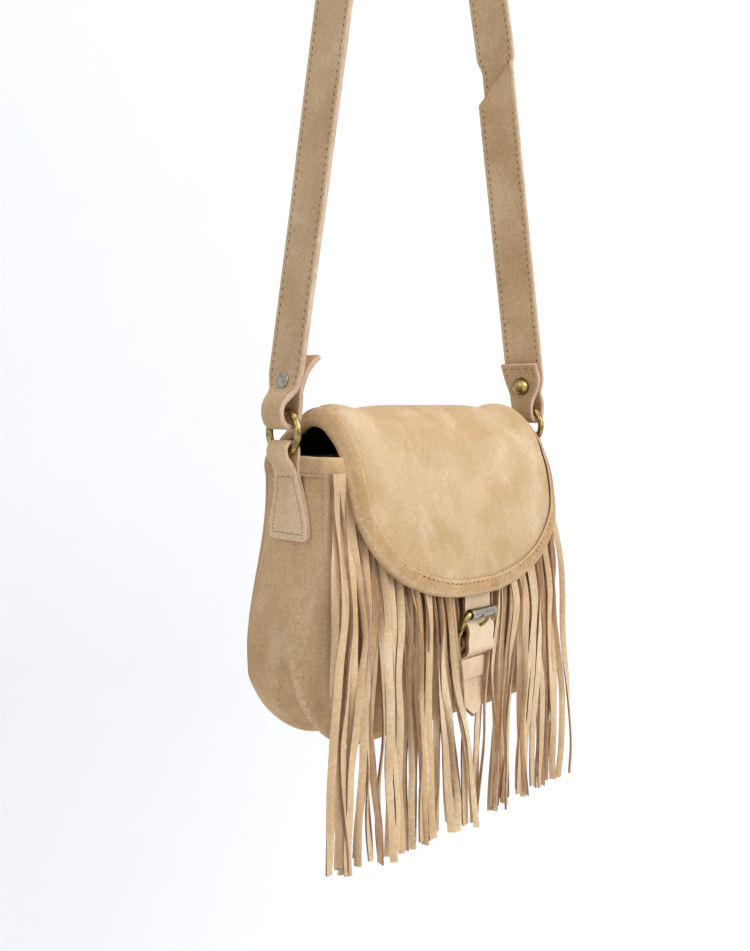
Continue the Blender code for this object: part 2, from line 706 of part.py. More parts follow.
FRAME_UP = Vector((0, -math.sin(BUCKLE_TILT), math.cos(BUCKLE_TILT)))
FRAME_OUT = Vector((0, -math.cos(BUCKLE_TILT), -math.sin(BUCKLE_TILT)))
CHAPE_INNER = BUCKLE_ROD + GAP
CHAPE_BACK_Y = PANEL_FACE_Y - GAP - KEEPER_WALL - GAP
PRONG_TURN = BUCKLE_ROD + GAP + PRONG_RADIUS
HEEL = Vector((0, PANEL_FACE_Y - GAP - PRONG_TURN - PRONG_RADIUS - 0.0010, RIM_Z - HEEL_FALL))
ROLLER = HEEL + FRAME_UP * BUCKLE_REACH
STRAP_KEEPER_Y = CHAPE_BACK_Y - 2 * CHAPE_PLY - GAP - GAP - CLOSURE_THICKNESS / 2
WIDE = Vector((1, 0, 0))


def build_closure_strap():
    """The strap sewn under the flap, run behind the roller, over the heel bar and into the keeper."""
    half_thick = CLOSURE_THICKNESS / 2
    underside = flap_point(0, profile_length() - SEWN_UNDER_FLAP, -(FLAP_BACK + GAP + half_thick))
    at_foot = flap_point(0, profile_length(), -(FLAP_BACK + GAP + half_thick))
    at_roller = ROLLER.y + ROLLER_RADIUS + GAP + half_thick
    at_heel = HEEL.y - PRONG_TURN - PRONG_RADIUS - GAP - half_thick
    key = [
        (underside.y, underside.z),
        (max(at_foot.y, at_roller), at_foot.z),
        (at_roller, ROLLER.z + 0.003),
        (at_roller + 0.0002, ROLLER.z - 0.003),
        ((at_roller + at_heel) / 2 - 0.0008, (ROLLER.z + HEEL.z) / 2),
        (at_heel, HEEL.z + 0.003),
        (at_heel, HEEL.z - 0.003),
        (STRAP_KEEPER_Y, RIM_Z - KEEPER_FALL),
        (STRAP_KEEPER_Y, RIM_Z - KEEPER_FALL - KEEPER_HEIGHT),
        (STRAP_KEEPER_Y - 0.0006, RIM_Z - CLOSURE_TIP + CLOSURE_POINT),
        (STRAP_KEEPER_Y - 0.0010, RIM_Z - CLOSURE_TIP + CLOSURE_POINT * 0.4),
        (STRAP_KEEPER_Y - 0.0010, RIM_Z - CLOSURE_TIP),
    ]
    half = CLOSURE_WIDTH / 2
    widths = [half] * (len(key) - 2) + [half * 0.62, 0.0012]
    centres = [Vector((0, y, z)) for y, z in key]
    strap = ribbon("closure_strap", centres, WIDE, widths, CLOSURE_THICKNESS, SUEDE_SAND)
    middle = (HEEL + ROLLER) / 2
    cut(strap, (2 * (PRONG_RADIUS + 2 * GAP), 0.012, 0.0110), middle)


def build_buckle():
    side = CLOSURE_WIDTH / 2 + 2 * GAP + BUCKLE_ROD
    corner = 0.0030
    points = []
    for x_sign, base, up_sign in ((1, HEEL, -1), (1, ROLLER, 1), (-1, ROLLER, 1), (-1, HEEL, -1)):
        middle = base + WIDE * (x_sign * (side - corner)) - FRAME_UP * (up_sign * corner)
        first = {(1, -1): -90, (1, 1): 0, (-1, 1): 90, (-1, -1): 180}[(x_sign, up_sign)]
        for angle in spread(math.radians(first), math.radians(first + 90), 4):
            points.append(middle + (WIDE * math.cos(angle) + FRAME_UP * math.sin(angle)) * corner)
    rod("buckle_frame", points, BUCKLE_ROD, BRASS, 0.35, cyclic=True, resolution=2)

    reach = side - corner - GAP
    slit = ROLLER_SLIT / 2 / ROLLER_RADIUS
    angles = spread(slit, 2 * math.pi - slit, 21)
    section = []
    for radius, order in ((ROLLER_RADIUS, angles), (ROLLER_RADIUS - ROLLER_WALL, angles[::-1])):
        for angle in order:
            section.append((radius * math.cos(angle), radius * math.sin(angle)))
    ends = []
    for x in (-reach, reach):
        ends.append([ROLLER + WIDE * x + FRAME_UP * a - FRAME_OUT * b for a, b in section])
    loft("buckle_roller", ends, NICKEL, 0.4, 1.0)

    tip = ROLLER + FRAME_OUT * (ROLLER_RADIUS + PRONG_RADIUS + 2 * GAP) * 1.08
    prong = []
    for angle in spread(math.radians(50), math.radians(-180), 14):
        prong.append(HEEL + (FRAME_OUT * math.cos(angle) + FRAME_UP * math.sin(angle)) * PRONG_TURN)
    prong.append(tip + FRAME_UP * 0.0010)
    rod("buckle_prong", prong, PRONG_RADIUS, BRASS, 0.35)


def build_chape():
    """A strip folded over the heel bar and sewn to the front panel, slotted for the prong."""
    loop = CHAPE_INNER + CHAPE_PLY / 2
    back_y = CHAPE_BACK_Y - CHAPE_PLY / 2
    front_y = back_y - CHAPE_PLY - GAP
    key = [(back_y, RIM_Z - CHAPE_FALL), (back_y, HEEL.z - 0.0100), (back_y - 0.0003, HEEL.z - 0.0060)]
    for angle in spread(math.radians(-35), math.radians(215), 12):
        key.append((HEEL.y + loop * math.cos(angle), HEEL.z + loop * math.sin(angle)))
    key += [(front_y, HEEL.z - 0.0075), (front_y, HEEL.z - 0.0100), (front_y, RIM_Z - CHAPE_FALL + 0.0040)]
    centres = [Vector((0, y, z)) for y, z in key]
    half = CLOSURE_WIDTH / 2 - 2 * GAP
    chape = ribbon("buckle_chape", centres, WIDE, [half] * len(centres), CHAPE_PLY, SUEDE_SAND)
    slot = 2 * (PRONG_RADIUS + 3 * GAP)
    cut(chape, (slot, 0.016, 0.0125), HEEL + Vector((0, 0, 0.0018)))


def build_keeper():
    """A flat loop round the closure strap and the chape."""
    inner_x = CLOSURE_WIDTH / 2 + 2 * GAP
    inner_back = PANEL_FACE_Y - GAP - KEEPER_WALL
    inner_front = STRAP_KEEPER_Y - CLOSURE_THICKNESS / 2 - GAP
    sections = []
    for x_sign, y, y_sign in ((-1, inner_back, 1), (1, inner_back, 1), (1, inner_front, -1), (-1, inner_front, -1)):
        inner = Vector((x_sign * inner_x, y, 0))
        outer = inner + Vector((x_sign * KEEPER_WALL, y_sign * KEEPER_WALL, 0))
        top = Vector((0, 0, RIM_Z - KEEPER_FALL))
        low = top - Vector((0, 0, KEEPER_HEIGHT))
        sections.append([inner + low, outer + low, outer + top, inner + top])
    loft("keeper_loop", sections, SUEDE_SAND, loop=True)


def main():
    for obj in list(bpy.data.objects):
        bpy.data.objects.remove(obj, do_unlink=True)
    build_panels()
    build_gusset()
    build_lining()
    build_mouth_binding()
    build_flap()
    build_flap_binding()
    build_fringes()
    build_strap()
    for side in (-1, 1):
        build_tab(side)
        build_ring(side)
    build_closure_strap()
    build_buckle()
    build_chape()
    build_keeper()


main()
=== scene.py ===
"""Looks of a small saddle bag of sand suede with a fringed front, hung by its strap.

Metres, +Z up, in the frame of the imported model: the origin is the hanging point, the
front faces -Y and the bag's left side lies at -X.
"""

from __future__ import annotations

import logging
import math
from bisect import bisect_right
from collections.abc import Callable, Iterable, Iterator, Sequence
from contextlib import contextmanager
from dataclasses import dataclass
from enum import Enum
from functools import cache
from typing import Any

import bpy
from mathutils import Matrix, Vector, noise

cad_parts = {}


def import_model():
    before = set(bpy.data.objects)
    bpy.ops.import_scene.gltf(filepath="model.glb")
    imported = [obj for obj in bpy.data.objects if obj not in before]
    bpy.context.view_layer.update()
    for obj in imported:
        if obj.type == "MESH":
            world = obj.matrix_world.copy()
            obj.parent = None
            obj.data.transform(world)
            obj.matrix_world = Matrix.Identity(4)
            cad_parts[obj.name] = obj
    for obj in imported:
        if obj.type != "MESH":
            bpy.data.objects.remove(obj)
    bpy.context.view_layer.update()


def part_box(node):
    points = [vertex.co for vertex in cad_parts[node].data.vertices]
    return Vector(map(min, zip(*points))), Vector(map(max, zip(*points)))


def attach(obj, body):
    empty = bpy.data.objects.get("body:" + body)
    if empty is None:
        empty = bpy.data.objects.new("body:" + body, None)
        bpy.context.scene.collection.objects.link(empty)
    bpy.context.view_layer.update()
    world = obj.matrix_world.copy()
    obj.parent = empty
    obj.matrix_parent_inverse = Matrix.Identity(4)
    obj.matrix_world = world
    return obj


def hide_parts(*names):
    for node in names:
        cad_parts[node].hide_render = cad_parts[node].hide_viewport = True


log = logging.getLogger("fringed_bag")

Tint = tuple[float, float, float]
Spot = tuple[Vector, Vector]
Place = Callable[[float, float], Vector]
Piece = bpy.types.Object
Look = bpy.types.Material

ALONG_Y = Vector((0.0, 1.0, 0.0))
ALONG_X = Vector((1.0, 0.0, 0.0))


class Side(Enum):
    """The bag's left side lies at -X."""

    LEFT = -1
    RIGHT = 1

    @property
    def word(self) -> str:
        """The side's name in lower case."""
        return self.name.lower()


class Layer(Enum):
    """The two layers of the fringe, counted from the panel outwards."""

    INNER = 0
    OUTER = 1


def tint(red: int, green: int, blue: int) -> Tint:
    """Turns a colour as a screen shows it into linear light.

    Args:
        red: Red from 0 to 255.
        green: Green from 0 to 255.
        blue: Blue from 0 to 255.

    Returns:
        The three linear values.
    """

    def linear(value: int) -> float:
        """One channel in linear light."""
        share = value / 255
        return share / 12.92 if share <= 0.04045 else ((share + 0.055) / 1.055) ** 2.4

    return linear(red), linear(green), linear(blue)


def smooth(share: float) -> float:
    """A step from 0 to 1 with soft ends."""
    share = min(max(share, 0.0), 1.0)
    return share * share * (3 - 2 * share)


def bow(share: float) -> float:
    """Moves evenly spaced shares closer together near both ends."""
    return 0.5 - 0.5 * math.cos(math.pi * share)


def bell(distance: float, width: float) -> float:
    """A soft hump, 1 at its middle and near 0 at twice its width."""
    return math.exp(-((distance / width) ** 2))


def drift(place: Vector, size: float, seed: float) -> float:
    """Smooth noise that changes over a distance.

    Args:
        place: Where it is read.
        size: The distance over which it changes.
        seed: A number that picks one of many such fields.

    Returns:
        A value from about -1 to 1.
    """
    return noise.noise(place / size + Vector((seed, 1.7 * seed, -2.3 * seed)))


def dice(seed: float) -> float:
    """A fixed number from 0 to 1 for each seed."""
    return (math.sin(seed * 127.1 + 311.7) * 43758.5453) % 1.0


class Route:
    """A smooth curve through points, walked by its length."""

    def __init__(self, points: Iterable[Sequence[float]], steps: int = 10) -> None:
        """Draws the curve.

        Args:
            points: The points that it runs through.
            steps: Pieces between two points.
        """
        self.points = self._curve([Vector(point) for point in points], steps)
        self.runs = [0.0]
        for start, end in zip(self.points, self.points[1:]):
            self.runs.append(self.runs[-1] + (end - start).length)

    @staticmethod
    def _curve(points: list[Vector], steps: int) -> list[Vector]:
        """Points of a curve that doesn't overshoot where its points lie unevenly.

        Args:
            points: The points that it runs through.
            steps: Pieces between two points.

        Returns:
            The curve's points.
        """
        ends = [2 * points[0] - points[1], *points, 2 * points[-1] - points[-2]]
        made = []
        for p0, p1, p2, p3 in zip(ends, ends[1:], ends[2:], ends[3:]):
            t1 = math.sqrt((p1 - p0).length)
            t2 = t1 + math.sqrt((p2 - p1).length)
            t3 = t2 + math.sqrt((p3 - p2).length)
            for step in range(steps):
                t = t1 + (t2 - t1) * step / steps
                a1 = (p0 * (t1 - t) + p1 * t) / t1
                a2 = (p1 * (t2 - t) + p2 * (t - t1)) / (t2 - t1)
                a3 = (p2 * (t3 - t) + p3 * (t - t2)) / (t3 - t2)
                b1 = (a1 * (t2 - t) + a2 * t) / t2
                b2 = (a2 * (t3 - t) + a3 * (t - t1)) / (t3 - t1)
                made.append((b1 * (t2 - t) + b2 * (t - t1)) / (t2 - t1))
        return [*made, points[-1]]

    @property
    def length(self) -> float:
        """The curve's length."""
        return self.runs[-1]

    def at(self, run: float) -> Vector:
        """The point at a distance along the curve, carried straight on past its ends.

        Args:
            run: Distance along the route.

        Returns:
            The point.
        """
        index = min(max(bisect_right(self.runs, run) - 1, 0), len(self.points) - 2)
        span = self.runs[index + 1] - self.runs[index]
        return self.points[index].lerp(self.points[index + 1], (run - self.runs[index]) / span)

    def heading(self, run: float, reach: float = 0.0015) -> Vector:
        """The direction in which the curve runs at a distance along it."""
        return (self.at(run + reach) - self.at(run - reach)).normalized()


def deselect() -> None:
    """Leaves edit mode and selects nothing."""
    if bpy.context.mode != "OBJECT":
        bpy.ops.object.mode_set(mode="OBJECT")
    bpy.ops.object.select_all(action="DESELECT")


def take(obj: Piece, *others: Piece) -> None:
    """Selects pieces alone and makes the first one active.

    Args:
        obj: The piece.
        others: More pieces to select.
    """
    deselect()
    for piece in (obj, *others):
        piece.select_set(True)
    bpy.context.view_layer.objects.active = obj


@contextmanager
def editing(action: str = "") -> Iterator[None]:
    """Opens the active piece for editing and closes it again.

    Args:
        action: What select_all does first, or nothing.

    Yields:
        Nothing, while the piece is open.
    """
    bpy.ops.object.mode_set(mode="EDIT")
    if action:
        bpy.ops.mesh.select_all(action=action)
    yield
    bpy.ops.object.mode_set(mode="OBJECT")


def named(name: str) -> Piece:
    """Names the active object and its mesh.

    Args:
        name: Name of the piece.

    Returns:
        The piece.
    """
    obj = bpy.context.object
    obj.name = name
    obj.data.name = name
    return obj


def apply_modifier(obj: Piece, kind: str, **settings: Any) -> None:
    """Adds a modifier and applies it.

    Args:
        obj: The piece.
        kind: The modifier's type.
        settings: Its settings by name.
    """
    take(obj)
    bpy.ops.object.modifier_add(type=kind)
    modifier = obj.modifiers[-1]
    for name, value in settings.items():
        setattr(modifier, name, value)
    bpy.ops.object.modifier_apply(modifier=modifier.name)


def settle(obj: Piece) -> None:
    """Applies an object's place, turn and size to its mesh."""
    take(obj)
    bpy.ops.object.transform_apply(location=True, rotation=True, scale=True)


def shade(obj: Piece, degrees: float = 50) -> None:
    """Shades a piece smooth up to an angle."""
    take(obj)
    bpy.ops.object.shade_smooth_by_angle(angle=math.radians(degrees))


def lay_grid(
    name: str,
    cells: tuple[int, int],
    flat: tuple[float, float],
    place: Place,
    wear: Callable[[float, float], float] | None = None,
) -> Piece:
    """Cuts a rectangle of leather or cloth as a grid and lays it where it hangs.

    Args:
        name: Name of the piece.
        cells: Cells across and along.
        flat: Width and length of the cut, in metres, for its UV map.
        place: Gives the place of a point from its shares of the width and the length.
        wear: How much paler a point is, from 0 to 1: worn edges, a fringe strip's own tone and the gusset's
            painted crease highlight.

    Returns:
        The piece, with its place in its mesh.
    """
    deselect()
    bpy.ops.mesh.primitive_grid_add(
        x_subdivisions=cells[0], y_subdivisions=cells[1], size=1, calc_uvs=True
    )
    obj = named(name)
    mesh = obj.data
    shares = [(vertex.co.x + 0.5, vertex.co.y + 0.5) for vertex in mesh.vertices]
    cut = mesh.uv_layers.active
    cut.name = "cut"
    for loop, point in zip(mesh.loops, cut.data):
        s, t = shares[loop.vertex_index]
        point.uv = (s * flat[0], t * flat[1])
    if wear:
        worn = mesh.attributes.new("wear", "FLOAT", "POINT")
        for value, (s, t) in zip(worn.data, shares):
            value.value = wear(s, t)
    for vertex, (s, t) in zip(mesh.vertices, shares):
        vertex.co = place(s, t)
    return obj


def thicken(obj: Piece, thickness: float, round_off: float = 0.0004) -> None:
    """Gives a laid grid its thickness, its second material on the cut edges and softened corners.

    Args:
        obj: The grid.
        thickness: Thickness of the leather.
        round_off: How far its corners are rounded off, or 0.
    """
    apply_modifier(
        obj, "SOLIDIFY", thickness=thickness, offset=0, use_even_offset=True, material_offset_rim=1
    )
    if round_off:
        apply_modifier(
            obj, "BEVEL", width=round_off, segments=2, limit_method="ANGLE", angle_limit=math.radians(60)
        )
    shade(obj, 55)


def dress(obj: Piece, *materials: Look) -> None:
    """Puts materials into a piece's slots, in order.

    Args:
        obj: The piece.
        materials: The materials.
    """
    obj.data.materials.clear()
    for material in materials:
        obj.data.materials.append(material)


def enter(obj: Piece, body: str, slot: str, *nodes: str) -> None:
    """Puts a finished piece on its CAD body.

    Args:
        obj: The piece.
        body: The body that it rides on.
        slot: The record's material slot for the piece; not used.
        nodes: CAD nodes that it stands for.
    """
    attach(obj, body)
    if nodes:
        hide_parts(*nodes)
    log.info("%s on %s: %d faces", obj.name, body, len(obj.data.polygons))


class Graph:
    """A node tree with short calls that add nodes and join them."""

    def __init__(self, tree: bpy.types.NodeTree) -> None:
        """Takes hold of a tree."""
        self.tree = tree

    @classmethod
    def material(cls, name: str) -> tuple[Look, Graph]:
        """A new material and its tree, which holds a Principled shader.

        Args:
            name: Name of the material.

        Returns:
            The material and its tree.
        """
        made = bpy.data.materials.new(name)
        made.use_nodes = True
        return made, cls(made.node_tree)

    @classmethod
    def group(cls, name: str, inputs: dict[str, str], outputs: dict[str, str]) -> Graph:
        """A new node group.

        Args:
            name: Name of the group.
            inputs: Names of its inputs with the kind of each, such as Float or Color.
            outputs: Names of its outputs in the same way.

        Returns:
            Its tree, with the nodes for both ends in it.
        """
        tree = bpy.data.node_groups.new(name, "ShaderNodeTree")
        for way, sockets in (("INPUT", inputs), ("OUTPUT", outputs)):
            for socket, kind in sockets.items():
                tree.interface.new_socket(socket, in_out=way, socket_type="NodeSocket" + kind)
        graph = cls(tree)
        graph.start = graph.add("NodeGroupInput")
        graph.end = graph.add("NodeGroupOutput")
        return graph

    def add(self, kind: str, sockets: dict[str | int, Any] | None = None, **settings: Any) -> bpy.types.Node:
        """Adds a node.

        Args:
            kind: Its type.
            sockets: Values of its inputs, or outputs of other nodes to join to them.
            settings: Its other settings.

        Returns:
            The node.
        """
        node = self.tree.nodes.new(kind)
        for name, value in settings.items():
            setattr(node, name, value)
        return self._fill(node, sockets or {})

    def _fill(self, node: bpy.types.Node, sockets: dict[Any, Any]) -> bpy.types.Node:
        """Sets a node's inputs.

        Args:
            node: The node.
            sockets: Values of its inputs, or outputs of other nodes to join to them.

        Returns:
            The node.
        """
        for name, value in sockets.items():
            if isinstance(value, bpy.types.NodeSocket):
                self.tree.links.new(value, node.inputs[name])
            else:
                node.inputs[name].default_value = value
        return node

    def math(self, operation: str, *values: Any) -> bpy.types.NodeSocket:
        """A Math node's result."""
        return self.add("ShaderNodeMath", dict(enumerate(values)), operation=operation).outputs[0]

    def noise(self, vector: Any, scale: float, detail: float = 2, rough: float = 0.5, bend: float = 0) -> Any:
        """A Noise texture's value, with the scale counted per metre."""
        sockets = {"Vector": vector, "Scale": scale, "Detail": detail, "Roughness": rough, "Distortion": bend}
        return self.add("ShaderNodeTexNoise", sockets).outputs[0]

    def span(self, value: Any, low: float, high: float, first: float = 0, last: float = 1) -> Any:
        """Maps the values from low to high onto first to last, with soft ends."""
        sockets = {"Value": value, "From Min": low, "From Max": high, "To Min": first, "To Max": last}
        return self.add("ShaderNodeMapRange", sockets, interpolation_type="SMOOTHSTEP").outputs[0]

    def mix(self, factor: Any, first: Any, second: Any, blend: str = "MIX") -> Any:
        """A Mix node's colour."""
        sockets = {0: factor, 6: first, 7: second}
        return self.add("ShaderNodeMix", sockets, data_type="RGBA", blend_type=blend).outputs[2]

    def stretch(self, vector: Any, scale: Tint) -> Any:
        """Coordinates scaled by an amount on each axis."""
        return self.add("ShaderNodeMapping", {"Vector": vector, "Scale": scale}).outputs[0]

    def place(self) -> Any:
        """The piece's Object coordinates."""
        return self.add("ShaderNodeTexCoord").outputs["Object"]

    def cut_map(self) -> Any:
        """The piece's own UV map, in metres of the flat cut."""
        return self.add("ShaderNodeUVMap", uv_map="cut").outputs[0]

    def use(self, group: Graph, sockets: dict[str, Any]) -> bpy.types.Node:
        """Places a shared group.

        Args:
            group: The group's tree.
            sockets: Values of its inputs, or outputs of other nodes to join to them.

        Returns:
            The node that stands for the group.
        """
        node = self.add("ShaderNodeGroup")
        node.node_tree = group.tree
        return self._fill(node, sockets)

    def give(self, **outputs: Any) -> None:
        """Joins values to a group's outputs, by name."""
        for name, value in outputs.items():
            self.tree.links.new(value, self.end.inputs[name])

    def finish(self, colour: Any, rough: Any, height: Any, depth: float, **fixed: Any) -> None:
        """Joins colour, roughness and relief to the Principled shader.

        Args:
            colour: Colour output.
            rough: Roughness output.
            height: Relief output, from 0 to 1.
            depth: Depth of the relief, in metres.
            fixed: Values that are the same all over, by socket name with _ for a space.
        """
        shader = self.tree.nodes["Principled BSDF"]
        bump = self.add("ShaderNodeBump", {"Height": height, "Distance": depth, "Strength": 1.0})
        self.tree.links.new(colour, shader.inputs["Base Color"])
        self.tree.links.new(rough, shader.inputs["Roughness"])
        self.tree.links.new(bump.outputs[0], shader.inputs["Normal"])
        for name, value in fixed.items():
            shader.inputs[name.replace("_", " ")].default_value = value


@cache
def nap_group() -> Graph:
    """Brushed suede: cloudy patches, paler brush marks and a fine standing nap.

    Returns:
        The group's tree.
    """
    graph = Graph.group(
        "suede_nap",
        {"Vector": "Vector", "Base": "Color", "Deep": "Color", "Pale": "Color", "Mottle": "Float",
         "Wear": "Float", "Grain": "Float"},
        {"Color": "Color", "Roughness": "Float", "Height": "Float"},
    )
    begin = graph.start.outputs
    vector = begin["Vector"]
    cloud = graph.span(graph.noise(vector, 19, 3, 0.55, 0.3), 0.34, 0.66)
    brushed = graph.noise(graph.stretch(vector, (1, 1, 0.6)), 34, 5, 0.62, 0.35)
    marks = graph.math("MULTIPLY", graph.span(brushed, 0.46, 0.78), begin["Mottle"])
    tuft = graph.noise(vector, 420, 3, 0.6)
    grain = graph.noise(vector, 1500, 2, 0.6)
    shade_in = graph.math("MULTIPLY", graph.math("SUBTRACT", 1.0, cloud), begin["Mottle"])
    colour = graph.mix(shade_in, begin["Base"], begin["Deep"])
    colour = graph.mix(marks, colour, begin["Pale"])
    worn = graph.math("MULTIPLY", begin["Wear"], graph.span(tuft, 0.30, 0.62, 0.45, 1))
    colour = graph.mix(worn, colour, begin["Pale"])
    fleck = graph.noise(vector, 820, 2, 0.7)
    fine = graph.math("ADD", graph.math("MULTIPLY", grain, 0.4), graph.math("MULTIPLY", tuft, 0.5))
    fine = graph.math("ADD", fine, graph.math("MULTIPLY", fleck, 0.9))
    light = graph.math("MULTIPLY_ADD", graph.math("SUBTRACT", fine, 0.9), begin["Grain"], 1.0)
    grey = graph.add("ShaderNodeCombineColor", {0: light, 1: light, 2: light}).outputs[0]
    colour = graph.mix(1.0, colour, grey, "MULTIPLY")
    rough = graph.span(tuft, 0.3, 0.7, 0.82, 0.97)
    height = graph.math("ADD", graph.math("MULTIPLY", grain, 0.55), graph.math("MULTIPLY", tuft, 0.45))
    graph.give(Color=colour, Roughness=rough, Height=height)
    return graph


@cache
def fibre_group() -> Graph:
    """The cut edge of leather: packed fibres with paler and darker layers.

    Returns:
        The group's tree.
    """
    graph = Graph.group(
        "cut_fibres",
        {"Vector": "Vector", "Base": "Color", "Deep": "Color"},
        {"Color": "Color", "Height": "Float"},
    )
    vector = graph.start.outputs["Vector"]
    fibre = graph.noise(vector, 1900, 3, 0.7)
    patch = graph.noise(vector, 120, 2, 0.5)
    both = graph.math("ADD", graph.math("MULTIPLY", fibre, 0.6), graph.math("MULTIPLY", patch, 0.4))
    dark = graph.span(both, 0.40, 0.64, 1, 0)
    colour = graph.mix(dark, graph.start.outputs["Base"], graph.start.outputs["Deep"])
    graph.give(Color=colour, Height=fibre)
    return graph


@cache
def patina_group() -> Graph:
    """Old metal: tarnish in clouds, fine scratches and small pits.

    Returns:
        The group's tree.
    """
    graph = Graph.group(
        "metal_patina",
        {"Vector": "Vector", "Bright": "Color", "Tarnish": "Color", "Amount": "Float"},
        {"Color": "Color", "Roughness": "Float", "Height": "Float"},
    )
    begin = graph.start.outputs
    vector = begin["Vector"]
    cloud = graph.noise(vector, 260, 4, 0.6, 0.6)
    pits = graph.noise(vector, 1400, 3, 0.6)
    scratch = graph.noise(graph.stretch(vector, (1, 1, 0.08)), 2400, 2, 0.5)
    aged = graph.math("MULTIPLY", graph.span(cloud, 0.36, 0.66), begin["Amount"])
    colour = graph.mix(aged, begin["Bright"], begin["Tarnish"])
    rough = graph.math("ADD", graph.span(scratch, 0.3, 0.7, 0.16, 0.30), graph.math("MULTIPLY", aged, 0.22))
    height = graph.math("ADD", graph.math("MULTIPLY", pits, 0.5), graph.math("MULTIPLY", scratch, 0.5))
    graph.give(Color=colour, Roughness=rough, Height=height)
    return graph


@dataclass(frozen=True)
class Suede:
    """A brushed suede face."""

    name: str
    base: Tint
    deep: Tint
    pale: Tint
    mottle: float = 0.6
    grain: float = 0.45
    sheen: float = 0.18

    def material(self) -> Look:
        """Builds the material.

        Returns:
            The material.
        """
        made, graph = Graph.material(self.name)
        # The wear attribute pales the suede: real edge wear, and on the gusset a painted highlight along the
        # crease's crest.
        wear = graph.add("ShaderNodeAttribute", attribute_name="wear").outputs["Fac"]
        nap = graph.use(
            nap_group(),
            {"Vector": graph.place(), "Base": (*self.base, 1), "Deep": (*self.deep, 1),
             "Pale": (*self.pale, 1), "Mottle": self.mottle, "Wear": wear, "Grain": self.grain},
        )
        graph.finish(
            nap.outputs["Color"], nap.outputs["Roughness"], nap.outputs["Height"], 0.00022,
            Sheen_Weight=self.sheen, Sheen_Roughness=0.45, Sheen_Tint=(*self.pale, 1),
            Specular_IOR_Level=0.16,
        )
        return made


@dataclass(frozen=True)
class CutEdge:
    """The raw edge of suede that was cut and left bare."""

    name: str
    base: Tint
    deep: Tint

    def material(self) -> Look:
        """Builds the material.

        Returns:
            The material.
        """
        made, graph = Graph.material(self.name)
        fibre = graph.use(
            fibre_group(), {"Vector": graph.place(), "Base": (*self.base, 1), "Deep": (*self.deep, 1)}
        )
        rough = graph.span(fibre.outputs["Height"], 0.2, 0.8, 0.86, 0.98)
        graph.finish(
            fibre.outputs["Color"], rough, fibre.outputs["Height"], 0.0003, Specular_IOR_Level=0.12
        )
        return made


@dataclass(frozen=True)
class Cloth:
    """A plain woven lining."""

    name: str
    thread: Tint
    shadow: Tint
    pitch: float = 0.0006

    def material(self) -> Look:
        """Builds the material.

        Returns:
            The material.
        """
        made, graph = Graph.material(self.name)
        cut = graph.cut_map()
        waves = []
        for axis in range(2):
            along = graph.add("ShaderNodeSeparateXYZ", {0: cut}).outputs[axis]
            turn = graph.math("MULTIPLY", along, 2 * math.pi / self.pitch)
            waves.append(graph.math("SINE", turn))
        weave = graph.span(graph.math("MULTIPLY", waves[0], waves[1]), -1, 1)
        dust = graph.noise(graph.place(), 300, 4, 0.7)
        height = graph.math("ADD", graph.math("MULTIPLY", weave, 0.7), graph.math("MULTIPLY", dust, 0.3))
        colour = graph.mix(height, (*self.shadow, 1), (*self.thread, 1))
        rough = graph.span(dust, 0.3, 0.7, 0.8, 0.95)
        graph.finish(colour, rough, height, 0.00015, Specular_IOR_Level=0.1, Sheen_Weight=0.05)
        return made


@dataclass(frozen=True)
class Metal:
    """A plated metal with its patina."""

    name: str
    bright: Tint
    tarnish: Tint
    amount: float = 0.6

    def material(self) -> Look:
        """Builds the material.

        Returns:
            The material.
        """
        made, graph = Graph.material(self.name)
        patina = graph.use(
            patina_group(),
            {"Vector": graph.place(), "Bright": (*self.bright, 1), "Tarnish": (*self.tarnish, 1),
             "Amount": self.amount},
        )
        graph.finish(
            patina.outputs["Color"], patina.outputs["Roughness"], patina.outputs["Height"], 0.00003,
            Metallic=1.0,
        )
        return made


@dataclass(frozen=True)
class ThreadFinish:
    """Waxed sewing thread, twisted from fine plies."""

    name: str
    base: Tint
    deep: Tint

    def material(self) -> Look:
        """Builds the material.

        Returns:
            The material.
        """
        made, graph = Graph.material(self.name)
        fuzz = graph.noise(graph.place(), 2600, 3, 0.6)
        colour = graph.mix(graph.span(fuzz, 0.35, 0.65), (*self.deep, 1), (*self.base, 1))
        graph.finish(colour, graph.span(fuzz, 0.3, 0.7, 0.6, 0.8), fuzz, 0.0001, Specular_IOR_Level=0.25)
        return made


